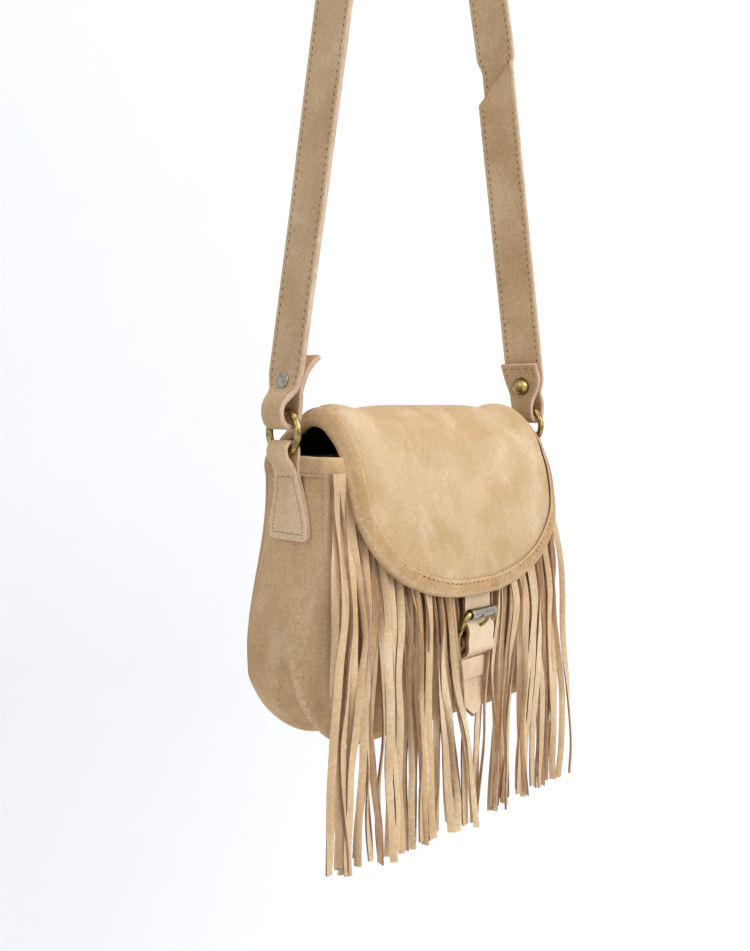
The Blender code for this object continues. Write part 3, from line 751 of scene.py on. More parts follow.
class Finishes:
    """Every finish of the bag, each built once."""

    def __init__(self) -> None:
        """Builds the materials."""
        self.gusset = Suede(
            "suede_gusset", tint(222, 185, 141), tint(190, 151, 106), tint(240, 212, 174), 0.6, 0.85
        ).material()
        self.panel = Suede(
            "suede_panel", tint(216, 180, 138), tint(184, 147, 106), tint(232, 204, 166), 0.5, 0.8
        ).material()
        self.flap = Suede(
            "suede_flap", tint(220, 191, 154), tint(203, 167, 120), tint(236, 214, 180), 0.80, 0.5
        ).material()
        self.tab = Suede(
            "suede_tab", tint(237, 205, 164), tint(212, 176, 132), tint(246, 224, 190), 0.6, 0.7
        ).material()
        self.closure = Suede(
            "suede_closure", tint(243, 217, 183), tint(222, 190, 150), tint(250, 232, 204), 0.6, 0.5
        ).material()
        self.binding = Suede(
            "suede_binding", tint(211, 175, 132), tint(182, 141, 98), tint(230, 200, 160), 0.8, 0.7
        ).material()
        self.strap = Suede(
            "suede_strap", tint(212, 180, 140), tint(188, 153, 111), tint(232, 206, 170), 0.6, 0.8
        ).material()
        self.fringe = Suede(
            "suede_fringe", tint(232, 199, 156), tint(202, 166, 124), tint(250, 231, 198), 0.7, 0.6
        ).material()
        self.raw_edge = CutEdge("raw_edge", tint(236, 209, 188), tint(212, 174, 148)).material()
        self.fringe_edge = CutEdge("fringe_edge", tint(198, 160, 134), tint(152, 114, 88)).material()
        self.thread = ThreadFinish("sewing_thread", tint(214, 187, 150), tint(188, 160, 122)).material()
        # Flat dark discs at the stitches' ends: painted shade of the needle holes.
        self.needle_hole = CutEdge("needle_hole", tint(118, 100, 66), tint(84, 68, 42)).material()
        self.lining = Cloth("lining_cloth", tint(30, 25, 23), tint(12, 9, 8)).material()
        self.brass = Metal("antique_brass", tint(182, 160, 104), tint(92, 76, 42), 0.85).material()
        self.nickel = Metal("worn_nickel", tint(170, 164, 152), tint(104, 96, 82), 0.6).material()


@dataclass(frozen=True)
class Seam:
    """A row of stitches, with a flat dark disc at each end: painted shade for the needle's hole.

    The pitch runs from stitch to stitch, and hole is the radius of a hole's disc of painted shade.
    """

    pitch: float = 0.0050
    length: float = 0.0040
    width: float = 0.0006
    hole: float = 0.00050

    def _stitch(self) -> Piece:
        """Models one stitch along X, its top at +Z, with a flat dark disc of painted hole shade at each end.

        Returns:
            The stitch.
        """
        deselect()
        bpy.ops.mesh.primitive_uv_sphere_add(
            segments=6, ring_count=6, radius=0.5, rotation=(0, math.pi / 2, 0)
        )
        thread = named("stitch")
        settle(thread)
        with editing("SELECT"):
            bpy.ops.transform.resize(value=(self.length, self.width, 0.7 * self.width))
        for vertex in thread.data.vertices:
            vertex.co.z += 0.12 * self.width - 0.9 * self.width * (vertex.co.x / self.length) ** 2
        holes = []
        # Each hole is a flat disc just above the leather, which takes the painted hole shade.
        for end in (-0.5, 0.5):
            bpy.ops.mesh.primitive_circle_add(
                vertices=7, radius=self.hole, fill_type="NGON", location=(end * self.length, 0, 0.00004)
            )
            holes.append(named("stitch_hole"))
        take(thread, *holes)
        bpy.ops.object.join()
        settle(thread)
        return thread

    def sew(self, name: str, rows: Sequence[Sequence[Spot]], finishes: Finishes) -> Piece:
        """Sews rows of stitches.

        Args:
            name: Name of the piece that the stitches make.
            rows: For each row, points on the leather's face with the way that it faces.
            finishes: The bag's finishes.

        Returns:
            One object that holds all stitches.
        """
        model = self._stitch()
        shape = [vertex.co.copy() for vertex in model.data.vertices]
        cells = [tuple(face.vertices) for face in model.data.polygons]
        # Faces with more than four corners are the discs, which take the painted hole shade in slot 1.
        slots = [int(len(face.vertices) > 4) for face in model.data.polygons]
        points, faces, indices = [], [], []
        for row in rows:
            path = Route([spot[0] for spot in row], 1)
            count = max(int(path.length / self.pitch), 1)
            for stitch in range(count):
                run = (stitch + 0.5) * path.length / count
                share = run / path.length * (len(row) - 1)
                along = path.heading(run, 0.3 * self.length)
                out = row[round(share)][1]
                out = (out - along * out.dot(along)).normalized()
                turn = Matrix((along, out.cross(along), out)).transposed()
                start = len(points)
                points += [path.at(run) + turn @ point for point in shape]
                faces += [tuple(start + corner for corner in cell) for cell in cells]
                indices += slots
        bpy.data.objects.remove(model, do_unlink=True)
        mesh = bpy.data.meshes.new(name)
        mesh.from_pydata(points, [], faces)
        obj = bpy.data.objects.new(name, mesh)
        bpy.context.scene.collection.objects.link(obj)
        dress(obj, finishes.thread, finishes.needle_hole)
        mesh.polygons.foreach_set("material_index", indices)
        shade(obj, 60)
        return obj


STRAP_SEAM = Seam()
MOUTH_SEAM = Seam(pitch=0.0042, length=0.0034, hole=0.00032)
FLAP_SEAM = Seam(pitch=0.0042, length=0.0034, hole=0.00048)
TAB_SEAM = Seam(pitch=0.0043, length=0.0030, hole=0.00046)


@dataclass
class Ribbon:
    """A strip of leather along a route.

    The functions give half of its width and its way across at a distance along the route. The
    slant shortens one edge at its end, and the curl lifts both edges.
    """

    name: str
    route: Route
    half: Callable[[float], float]
    thickness: float
    across: Callable[[float], Vector] = lambda run: ALONG_Y
    slant: float = 0.0
    curl: float = 0.0

    def spot(self, side: float, run: float, face: float = 0.0) -> Spot:
        """A point of the strip.

        Args:
            side: From -1 at one edge to 1 at the other.
            run: Distance along the route.
            face: 0 for the middle of the leather, 1 or -1 for its faces.

        Returns:
            The point, and the way that the face with 1 looks.
        """
        run = min(run, self.route.length)
        across = self.across(run)
        out = self.route.heading(run).cross(across).normalized()
        rise = self.curl * (side * side - 0.4)
        place = self.route.at(run) + across * (side * self.half(run)) + out * rise
        return place + out * (0.5 * face * self.thickness), out * (1 if face >= 0 else -1)

    def build(self, cells: tuple[int, int], finishes: Sequence[Look]) -> Piece:
        """Cuts the strip.

        Args:
            cells: Cells across and along.
            finishes: Materials of its faces and of its cut edges.

        Returns:
            The strip.
        """
        length = self.route.length
        worn_hem = 0.0018

        def place(s: float, t: float) -> Vector:
            """The middle of the leather at a share of the width and the length."""
            return self.spot(2 * s - 1, t * (length - self.slant * s))[0]

        def wear(s: float, t: float) -> float:
            """Wear along both edges."""
            inset = (1 - abs(2 * s - 1)) * self.half(t * length)
            return 1 - smooth(inset / worn_hem)

        obj = lay_grid(self.name, cells, (2 * self.half(length / 2), length), place, wear)
        dress(obj, *finishes)
        thicken(obj, self.thickness)
        return obj

    def row(self, inset: float, start: float, end: float, side: int, face: int) -> list[Spot]:
        """Points for a row of stitches along one edge.

        Args:
            inset: Distance from the edge.
            start: Where the row starts along the route.
            end: Where it ends.
            side: -1 or 1 for the edge.
            face: -1 or 1 for the face.

        Returns:
            The points, with the way that the face looks.
        """
        step = 0.004
        count = max(int((end - start) / step), 2)
        runs = [start + (end - start) * k / count for k in range(count + 1)]
        return [self.spot(side * (1 - inset / self.half(run)), run, face) for run in runs]


@dataclass
class Studio:
    """A pale cove behind the hanging bag, soft lamps and the camera at the photograph's place.

    The lamps look at the aim. The cove's floor lies at floor_z and its wall wall_away from the
    origin, away from the camera.
    """

    camera_place: Tint = (-0.5081, -0.4646, -0.6181)
    camera_turn: float = -45.0
    lens: float = 38.23
    drop: float = -0.0794
    aim: Tint = (0.0, -0.03, -0.70)
    floor_z: float = -1.30
    wall_away: float = 0.55
    cove_width: float = 7.0
    cove_reach: float = 3.2
    cove_lift: float = 0.27

    def camera(self) -> None:
        """Sets up the camera."""
        data = bpy.data.cameras.new("camera")
        data.lens = self.lens
        data.sensor_width = 36.0
        data.shift_y = self.drop
        data.clip_start = 0.01
        camera = bpy.data.objects.new("camera", data)
        turn = Matrix.Rotation(math.radians(self.camera_turn), 4, "Z")
        tip = Matrix.Rotation(math.radians(90), 4, "X")
        camera.matrix_world = Matrix.Translation(self.camera_place) @ turn @ tip
        bpy.context.scene.collection.objects.link(camera)
        bpy.context.scene.camera = camera

    def lamp(self, name: str, place: Tint, size: float, power: float, colour: Tint) -> None:
        """Adds a soft box that looks at the bag.

        Args:
            name: Name of the lamp.
            place: Where it stands.
            size: Width of its square face.
            power: Power in watts.
            colour: Its colour.
        """
        data = bpy.data.lights.new(name, "AREA")
        data.shape = "SQUARE"
        data.size = size
        data.energy = power
        data.color = colour
        lamp = bpy.data.objects.new(name, data)
        look = Vector(self.aim) - Vector(place)
        lamp.matrix_world = Matrix.Translation(place) @ look.to_track_quat("-Z", "Y").to_matrix().to_4x4()
        bpy.context.scene.collection.objects.link(lamp)

    @staticmethod
    def seen(graph: Graph) -> Any:
        """1 on rays from the camera and on those that a gloss or a clear piece sends on.

        Args:
            graph: The tree that uses it.

        Returns:
            The output with the value.
        """
        path = graph.add("ShaderNodeLightPath").outputs
        sharp = graph.math("MAXIMUM", path["Is Glossy Ray"], path["Is Transmission Ray"])
        return graph.math("MAXIMUM", path["Is Camera Ray"], sharp)

    def world(self) -> None:
        """Lights the room evenly and shows it white."""
        world = bpy.data.worlds.new("room")
        world.use_nodes = True
        graph = Graph(world.node_tree)
        graph.tree.nodes.clear()
        light = graph.add("ShaderNodeBackground", {"Color": (0.93, 0.96, 1.0, 1), "Strength": 0.46})
        white = graph.add("ShaderNodeBackground", {"Color": (1, 1, 1, 1), "Strength": 1.0})
        both = graph.add(
            "ShaderNodeMixShader", {0: self.seen(graph), 1: light.outputs[0], 2: white.outputs[0]}
        )
        graph.add("ShaderNodeOutputWorld", {0: both.outputs[0]})
        bpy.context.scene.world = world

    def cove(self) -> None:
        """Builds the wall and floor as one curved sheet, clear when seen from behind."""
        deselect()
        bpy.ops.mesh.primitive_plane_add(size=1)
        cove = named("cove")
        with editing("SELECT"):
            bpy.ops.transform.resize(value=(self.cove_width, self.cove_reach, 1.0))
            bpy.ops.mesh.select_all(action="DESELECT")
        for edge in cove.data.edges:
            edge.select = all(cove.data.vertices[k].co.y > 1 for k in edge.vertices)
        for vertex in cove.data.vertices:
            vertex.select = vertex.co.y > 1
        with editing():
            bpy.ops.mesh.extrude_region_move(TRANSFORM_OT_translate={"value": (0, 0, self.cove_reach)})
        turn = Matrix.Rotation(math.radians(self.camera_turn), 4, "Z")
        back = turn @ Vector((0, self.wall_away - self.cove_reach / 2, 0))
        cove.data.transform(Matrix.Translation((back.x, back.y, self.floor_z)) @ turn)
        apply_modifier(
            cove, "BEVEL", width=0.35, segments=16, limit_method="ANGLE", angle_limit=math.radians(60)
        )
        shade(cove, 60)
        dress(cove, self.cove_paper())

    def cove_paper(self) -> Look:
        """The cove's pale paper, which is clear when it is seen from behind.

        Returns:
            The material.
        """
        made, graph = Graph.material("pale_cove")
        tree = graph.tree
        shader = tree.nodes["Principled BSDF"]
        grit = graph.noise(graph.place(), 40, 2)
        colour = graph.mix(grit, (0.80, 0.81, 0.84, 1), (0.84, 0.85, 0.87, 1))
        tree.links.new(colour, shader.inputs["Base Color"])
        shader.inputs["Roughness"].default_value = 0.9
        lift = graph.math("MULTIPLY", self.seen(graph), self.cove_lift)
        tree.links.new(lift, shader.inputs["Emission Strength"])
        shader.inputs["Emission Color"].default_value = (1, 1, 1, 1)
        clear = graph.add("ShaderNodeBsdfTransparent")
        back_side = graph.add("ShaderNodeNewGeometry").outputs["Backfacing"]
        both = graph.add("ShaderNodeMixShader", {0: back_side, 1: shader.outputs[0], 2: clear.outputs[0]})
        tree.links.new(both.outputs[0], tree.nodes["Material Output"].inputs[0])
        return made

    def build(self) -> None:
        """Builds the whole studio."""
        self.camera()
        self.world()
        self.cove()
        self.lamp("key_lamp", (0.15, -1.60, 0.20), 1.3, 18.0, (1.0, 0.985, 0.965))
        self.lamp("left_lamp", (-1.70, -0.30, 0.20), 1.2, 4.5, (0.96, 0.98, 1.0))
        self.lamp("top_lamp", (0.10, -0.20, 1.10), 1.2, 8.0, (1.0, 1.0, 1.0))
        log.info("studio")


@dataclass
class Part:
    """A sub-assembly of the bag, dressed with the bag's finishes."""

    finishes: Finishes


@dataclass
class Pouch(Part):
    """The bag's body: two panels, the gusset between them, the lining and the mouth's binding.

    The depths are those at the rim, at the fullest place and at the bottom. front_y is the seam
    between the gusset and the front panel.
    """

    width: float = 0.2256
    height: float = 0.167
    corner: float = 0.038
    depth_top: float = 0.0546
    depth_low: float = 0.0735
    depth_bottom: float = 0.0700
    bulge: float = 0.0070
    side_swell: float = 0.0052
    crease_high: float = 0.0056
    crease_deep: float = 0.0048
    suede: float = 0.0018
    rim_z: float = -0.654
    front_y: float = -0.0395
    seam_round: float = 0.0032
    seam_lift: float = 0.0017
    binding_fall: float = 0.0092
    binding_cut: float = 0.0225
    binding_ply: float = 0.0011
    binding_soft: float = 0.0003
    stitch_lift: float = 0.00055

    def depth_at(self, fall: float) -> float:
        """Depth from front to back at a distance below the rim.

        Args:
            fall: Distance below the rim.

        Returns:
            The depth.
        """
        swell = smooth((fall - 0.12 * self.height) / (0.62 * self.height))
        tuck = smooth((fall - 0.70 * self.height) / (0.30 * self.height))
        low = self.depth_low - self.depth_top
        return self.depth_top + low * swell - (self.depth_low - self.depth_bottom) * tuck

    def floor_at(self, x: float, inset: float = 0.0) -> float:
        """Fall of the body's outline at x, drawn in by inset.

        Args:
            x: Place across the bag.
            inset: How far the outline is drawn in.

        Returns:
            The fall.
        """
        half = self.width / 2 - inset
        radius = self.corner - inset
        past = min(max(abs(x) - (half - radius), 0.0), radius)
        return self.height - self.corner + math.sqrt(radius**2 - past**2)

    def bulge_at(self, x: float, fall: float) -> float:
        """How far the front panel stands forward of its seam.

        Args:
            x: Place across the bag.
            fall: Distance below the rim.

        Returns:
            The distance.
        """
        share = min(fall / self.floor_at(x), 1)
        side = 1 - min(abs(x) / (self.width / 2), 1) ** 4
        return self.bulge * side * math.sin(math.pi * share**1.6)

    def pinch(self, place: Vector) -> Vector:
        """Draws the mouth's right front corner in, where the flap's edge holds it.

        Args:
            place: A point of the body.

        Returns:
            The moved point.
        """
        high = 1 - smooth((self.rim_z + 0.004 - place.z) / 0.060)
        right = smooth((place.x - 0.082) / 0.026)
        front = 1 - smooth((place.y - self.front_y) / 0.022)
        return place + Vector((-0.0075, 0.0060, 0)) * (high * right * front)

    def outline(self) -> Route:
        """The gusset's way round the body, from the left rim to the right rim.

        Returns:
            The route.
        """
        half = self.width / 2
        straight = self.height - self.corner
        points = [(-half, 0.0, self.rim_z - straight * k / 12) for k in range(12)]
        for k in range(13):
            angle = math.pi / 2 * k / 12
            x = -half + self.corner - self.corner * math.cos(angle)
            points.append((x, 0.0, self.rim_z - straight - self.corner * math.sin(angle)))
        points.append((0.0, 0.0, self.rim_z - self.height))
        return Route(points + [(-x, y, z) for x, y, z in reversed(points[:-1])], 4)

    def turn_in(self, inset: float) -> float:
        """How far a turned seam has drawn the leather in, at a distance from the seam."""
        left = max(self.seam_round - max(inset, 0.0), 0.0)
        return self.seam_round - math.sqrt(self.seam_round**2 - left**2)

    def panel(self, name: str, front: bool) -> Piece:
        """Lays a panel, its border rolled back into the seam.

        Args:
            name: Name of the piece.
            front: Whether it is the front panel.

        Returns:
            The panel.
        """
        beyond = 0.0002
        half = self.width / 2 + beyond

        def place(s: float, t: float) -> Vector:
            """A point of the panel, from the rim at t = 0 down to its rounded foot.

            Args:
                s: Share of the width.
                t: Share of the length.

            Returns:
                The point.
            """
            x = (2 * bow(s) - 1) * half
            reach = self.floor_at(x, -beyond)
            fall = reach * (1 - (1 - t) ** 1.6)
            border = min(half - abs(x), reach - fall + 2 * beyond)
            back = self.turn_in(0.8 * border)
            z = self.rim_z - fall
            sag = 0.0011 * drift(Vector((x, 0, z)), 0.045, 3.0) * smooth(border / 0.02)
            if front:
                y = self.front_y - self.seam_lift - self.bulge_at(x, fall) + back + sag
                return self.pinch(Vector((x, y, z)))
            swell = 0.0040 * smooth(border / 0.03) * smooth(fall / 0.08)
            return Vector((x, self.front_y + self.depth_at(fall) + self.seam_lift + swell - back + sag, z))

        obj = lay_grid(name, (80, 60), (2 * half, self.height), place)
        dress(obj, self.finishes.panel, self.finishes.raw_edge)
        thicken(obj, self.suede)
        return obj

    @staticmethod
    def crease_at(fall: float) -> float:
        """Share of the depth at which the gusset's soft crease runs, at a distance below the rim."""
        return 0.36 - 0.27 * smooth((fall - 0.095) / 0.07)

    def gusset(self) -> Piece:
        """Lays the gusset, which swells between its seams and folds softly at the lower corners.

        Returns:
            The gusset.
        """
        path = self.outline()

        def place(s: float, t: float) -> Vector:
            """A point of the strip, from the front seam at s = 0 to the back seam.

            Args:
                s: Share of the width.
                t: Share of the length.

            Returns:
                The point.
            """
            run = t * path.length
            middle = path.at(run)
            heading = path.heading(run, 0.004)
            out = Vector((heading.z, 0, -heading.x))
            fall = self.rim_z - middle.z
            depth = self.depth_at(fall)
            y = self.front_y + 0.0002 + bow(s) * (depth - 0.0004)
            inset = min(y - self.front_y, self.front_y + depth - y)
            side = abs(heading.z)
            full = smooth((fall - 0.048) / 0.07)
            belly = 0.0036 * smooth((fall - 0.115) / 0.04) * smooth((bow(s) - 0.25) / 0.4)
            swell = (self.side_swell * side + 0.0016 + belly) * full * math.sin(math.pi * bow(s)) ** 0.8
            low = smooth((fall - 0.095) / 0.05)
            line = self.crease_at(fall)
            fold = self.crease_high * low * bell(bow(s) - line, 0.085)
            hollow = -self.crease_deep * low * bell(bow(s) - line - 0.25, 0.12)
            sag = 0.0009 * drift(Vector((middle.x, y, middle.z)), 0.035, 7.0) * full
            shift = swell + fold + hollow + sag - self.turn_in(inset)
            return self.pinch(Vector((middle.x, y, middle.z)) + out * shift)

        def wear(s: float, t: float) -> float:
            """A painted highlight on the crease's crest, and paler suede along the front seam.

            Args:
                s: Share of the width.
                t: Share of the length.

            Returns:
                How much paler, from 0 to 1.
            """
            fall = self.rim_z - path.at(t * path.length).z
            # Painted highlight: the crease's crest is painted paler, as where light catches the fold.
            painted_crest_highlight = bell(bow(s) - self.crease_at(fall), 0.022) * smooth((fall - 0.105) / 0.03)
            hem = 1 - smooth(bow(s) / 0.035)
            return 0.85 * painted_crest_highlight + 0.6 * hem

        obj = lay_grid("gusset_suede", (54, 190), (self.depth_low, path.length), place, wear)
        dress(obj, self.finishes.gusset, self.finishes.raw_edge)
        thicken(obj, self.suede)
        return obj

    def lining(self) -> Piece:
        """Hangs the cloth bag inside, a little creased, with its foot drawn together.

        Returns:
            The lining.
        """
        away = 0.0040
        top = self.binding_fall - 0.001
        foot = self.height - away
        closes = 0.92
        power = 0.22

        def place(s: float, t: float) -> Vector:
            """A point of the tube, whose last rows draw together to a flat foot.

            Args:
                s: Share of the width.
                t: Share of the length.

            Returns:
                The point.
            """
            share = 1 - (1 - t) ** 1.5
            fall = top + (foot - top) * min(share / closes, 1)
            closing = 1 - smooth((share - closes) / 0.08) * 0.995
            drop = max(fall - (self.height - self.corner), 0)
            radius = self.corner - away
            half = self.width / 2 - self.corner + math.sqrt(max(radius**2 - drop**2, 0))
            depth = self.depth_at(fall) - 2 * away
            turn = 2 * math.pi * s
            x = half * math.copysign(abs(math.cos(turn)) ** power, math.cos(turn))
            y = math.copysign(abs(math.sin(turn)) ** power, math.sin(turn)) * depth / 2
            middle = self.front_y + self.depth_at(fall) / 2
            crease = 1 - 0.02 * (1 + drift(Vector((x, y, -fall)), 0.02, 11.0)) * smooth(share * 3)
            if y < 0:
                y -= 0.85 * self.bulge_at(x, fall) * min(-2 * y / depth, 1)
            return self.pinch(Vector((x * crease, middle + y * closing * crease, self.rim_z - fall)))

        obj = lay_grid("lining_suspended", (120, 40), (2 * (self.width + self.depth_top), foot), place)
        apply_modifier(obj, "WELD", merge_threshold=0.00005)
        dress(obj, self.finishes.lining, self.finishes.lining)
        apply_modifier(obj, "SOLIDIFY", thickness=0.0007, offset=0)
        shade(obj, 60)
        return obj

    def mouth(self) -> tuple[Piece, Piece]:
        """Folds the binding over the mouth's edge on three sides and sews it down.

        Returns:
            The binding and its stitches.
        """
        half = self.width / 2
        back = self.front_y + self.depth_top - 0.001
        near = self.front_y - 0.0008
        soft = 0.004
        path = Route(
            [(-half, back, 0), (-half, near + soft, 0), (-half + 0.3 * soft, near + 0.3 * soft, 0),
             (-half + soft, near, 0), (half - soft, near, 0), (half - 0.3 * soft, near + 0.3 * soft, 0),
             (half, near + soft, 0), (half, back, 0)]
        )
        out = 0.0018
        fall = self.binding_fall
        fold = Route(
            [(out - 0.0001, -fall, 0), (out + 0.0004, -0.75 * fall, 0), (out + 0.0006, -0.4 * fall, 0),
             (out + 0.0001, -0.08 * fall, 0), (0.6 * out, 0.0012, 0), (0, 0.0018, 0),
             (-0.6 * out, 0.0012, 0), (-out, -0.08 * fall, 0), (-out, -0.5 * fall, 0), (-out, -fall, 0)]
        )

        def spot(run: float, share: float) -> Spot:
            """A point of the fold's middle, and the way that its outer face looks.

            Args:
                run: Distance along the route.
                share: Share of the fold, from its outer hem to its inner one.

            Returns:
                The point and the direction.
            """
            heading = path.heading(run, 0.002)
            side = Vector((heading.y, -heading.x, 0))
            if heading.x < 0.5 and path.at(run).x < 0:
                side = Vector((-abs(heading.y), -heading.x, 0))
            section = fold.at(share * fold.length)
            ripple = 0.0003 * drift(path.at(run) + Vector((0, 0, section.y)), 0.011, 5.0)
            front = smooth((self.width / 2 - 0.002 - abs(path.at(run).x)) / 0.004)
            lip = 0.0016 * front * (1 - smooth(share / 0.30))
            place = path.at(run) + side * (section.x + ripple + lip)
            return self.pinch(place + Vector((0, 0, self.rim_z + section.y + 1.5 * ripple))), side

        obj = lay_grid(
            "mouth_binding_suede", (180, 26), (path.length, fold.length),
            lambda s, t: spot(s * path.length, t)[0],
            lambda s, t: 0.7 * bell(t - 0.5, 0.06) + 0.8 * (1 - smooth(t / 0.05)),
        )
        dress(obj, self.finishes.binding, self.finishes.raw_edge)
        thicken(obj, self.binding_ply, self.binding_soft)
        row = []
        marks = 90
        for k in range(marks):
            place, side = spot(path.length * (k + 0.5) / marks, 0.08)
            row.append((place + side * self.stitch_lift, side))
        return obj, MOUTH_SEAM.sew("mouth_stitches", [row], self.finishes)

    def build(self) -> None:
        """Builds the body and puts it on the bag."""
        low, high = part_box("gusset")
        self.front_y = low.y
        front = self.panel("front_panel_suede", True)
        enter(front, "bag", "suede_body", "front_panel")
        rear = self.panel("back_panel_suede", False)
        enter(rear, "bag", "suede_body", "back_panel")
        strip = self.gusset()
        enter(strip, "bag", "suede_body", "gusset")
        self.outline().length
        bag = self.lining()
        enter(bag, "bag", "lining_cloth", "lining")
        binding, stitches = self.mouth()
        enter(binding, "bag", "suede_body", "mouth_binding")
        enter(stitches, "bag", "suede_body")


@dataclass
class Flap(Part):
    """The flap from its seam on the back panel, over the ridge, to its bound, rounded foot.

    The ridge stands above the rim and the fall reaches below it. side_left is the length at
    which the sides end short of the foot's curve, and level_share the share of the grid's rows
    above that place. From roll_start on, the sides roll down by roll_deep and in by roll_in, with
    roll_right more at the right side's top.
    """

    pouch: Pouch
    half_width: float = 0.0985
    shift: float = -0.0035
    corner_rise: float = 0.0730
    power: float = 2.3
    bulge: float = 0.0060
    ridge: float = 0.0315
    fall: float = 0.0865
    overlap: float = 0.0140
    binding_width: float = 0.0088
    level_share: float = 0.625
    side_left: float = 0.0120
    roll_start: float = 0.84
    roll_deep: float = 0.0092
    roll_right: float = 0.0050
    roll_in: float = 0.0030
    thickness: float = 0.0018
    lining_thickness: float = 0.0008
    lining_start: float = 0.075
    binding_length: float = 0.505

    def __post_init__(self) -> None:
        """Draws the flap's side view as (y, z) below the rim."""
        front = self.pouch.front_y
        depth = self.pouch.depth_top
        seam = front + depth + 0.0038
        self.profile = Route(
            [(seam, -self.overlap, 0), (seam, 0.0036, 0), (seam - 0.05 * depth, 0.42 * self.ridge, 0),
             (seam - 0.19 * depth, 0.74 * self.ridge, 0), (seam - 0.38 * depth, 0.94 * self.ridge, 0),
             (seam - 0.60 * depth, self.ridge, 0), (seam - 0.82 * depth, 0.92 * self.ridge, 0),
             (seam - depth, 0.70 * self.ridge, 0), (front - 0.0065, 0.32 * self.ridge, 0),
             (front - 0.0115, -0.07 * self.fall, 0), (front - 0.0155, -0.35 * self.fall, 0),
             (front - 0.0180, -0.65 * self.fall, 0), (front - 0.0195, -self.fall, 0)]
        )

    def run_at(self, x: float, share: float) -> float:
        """Distance along the profile from its seam.

        Args:
            x: Place across the flap.
            share: Share of the grid's rows from the seam to the foot.

        Returns:
            The distance, which ends on the rounded foot.
        """
        level = self.profile.length - self.corner_rise - self.side_left
        if share <= self.level_share:
            return level * share / self.level_share
        return level + (self.end_at(x) - level) * (share - self.level_share) / (1 - self.level_share)

    def end_at(self, x: float) -> float:
        """Length of the profile at x, down to the rounded foot.

        Args:
            x: Place across the bag.

        Returns:
            The length.
        """
        share = min(abs(x) / self.half_width, 1)
        curve = (1 - share**self.power) ** (1 / self.power)
        return self.profile.length - self.corner_rise * (1 - curve)

    def surface(self, x: float, run: float) -> Vector:
        """A point of the flap, whose sides roll down and in towards the body.

        Args:
            x: Place across the flat flap.
            run: Distance along its profile from the seam.

        Returns:
            The point on the middle of the suede.
        """
        section = self.profile.at(run)
        heading = self.profile.heading(run, 0.004)
        out = Vector((0, heading.y, -heading.x))
        share = run / self.profile.length
        side = min(abs(x) / self.half_width, 1)
        bulge = self.bulge * smooth((share - 0.45) / 0.35) * (1 - side**2)
        over = smooth((share - 0.10) / 0.12) * (1 - 0.50 * smooth((share - 0.50) / 0.20))
        over *= 1 - 0.8 * smooth((share - 0.72) / 0.12)
        roll = max((abs(x) / self.half_width - self.roll_start) / (1 - self.roll_start), 0.0)
        drawn = x - math.copysign(self.roll_in * over * roll**2, x) + self.shift * smooth((share - 0.1) / 0.3)
        place = Vector((drawn, section.x - bulge, self.pouch.rim_z + section.y))
        hump = 0.0012 * bell(side - 0.80, 0.08) - 0.0016 * bell(side - 0.62, 0.12)
        deep = self.roll_deep
        if x >= 0:
            deep += self.roll_right * (1 - smooth((share - 0.50) / 0.15))
        sunk = over * (hump - deep * roll**1.7)
        front = smooth((share - 0.5) / 0.15)
        calm = 1 - side**4
        dent = 0.0016 * drift(place, 0.048, 2.0) + 0.0006 * drift(place, 0.021, 4.0)
        crease = 0.0007 * bell(x + 0.012 - 0.1 * (share - 0.7), 0.0035)
        return place + out * (sunk + (dent + crease) * calm * (0.25 + 0.75 * front))

    def spot(self, x: float, run: float, lift: float = 0.0) -> Spot:
        """A point off the flap's surface.

        Args:
            x: Place across the flat flap.
            run: Distance along its profile from the seam.
            lift: How far it stands off the middle of the suede.

        Returns:
            The point, and the way that the surface faces there.
        """
        step = 0.0015
        across = self.surface(x + step, run) - self.surface(x - step, run)
        along = self.surface(x, run + step) - self.surface(x, run - step)
        out = along.cross(across).normalized()
        return self.surface(x, run) + out * lift, out

    def sheet(self) -> Piece:
        """Lays the suede of the flap.

        Returns:
            The suede.
        """

        def place(s: float, t: float) -> Vector:
            """A point of the suede, from the seam at t = 0 to the foot."""
            x = (2 * bow(s) - 1) * self.half_width
            return self.spot(x, self.run_at(x, t))[0]

        obj = lay_grid("flap_suede", (90, 120), (2 * self.half_width, self.profile.length), place)
        dress(obj, self.finishes.flap, self.finishes.raw_edge)
        thicken(obj, self.thickness, 0)
        return obj

    def lining(self) -> Piece:
        """Lays the cloth under the flap, from the mouth's back edge to the foot.

        Returns:
            The cloth.
        """
        start, end = self.lining_start, 0.998

        def place(s: float, t: float) -> Vector:
            """A point of the cloth, just below the suede."""
            x = (2 * bow(s) - 1) * (self.half_width - 0.0004)
            return self.spot(x, self.run_at(x, start + (end - start) * t), -0.0014)[0]

        obj = lay_grid("flap_lining_cloth", (60, 90), (2 * self.half_width, self.profile.length), place)
        dress(obj, self.finishes.lining, self.finishes.lining)
        thicken(obj, self.lining_thickness, 0)
        return obj

    def edge(self) -> list[tuple[float, float]]:
        """The bound edge as (x, run), from the left seam round the foot to the right one.

        Returns:
            The edge's points.
        """
        half = self.half_width
        start = self.lining_start
        left = [(-half, self.run_at(half, start + (1 - start) * k / 40)) for k in range(41)]
        foot = [(2 * bow(k / 80) - 1) * half for k in range(1, 80)]
        return left + [(x, self.end_at(x)) for x in foot] + [(-x, run) for x, run in reversed(left)]

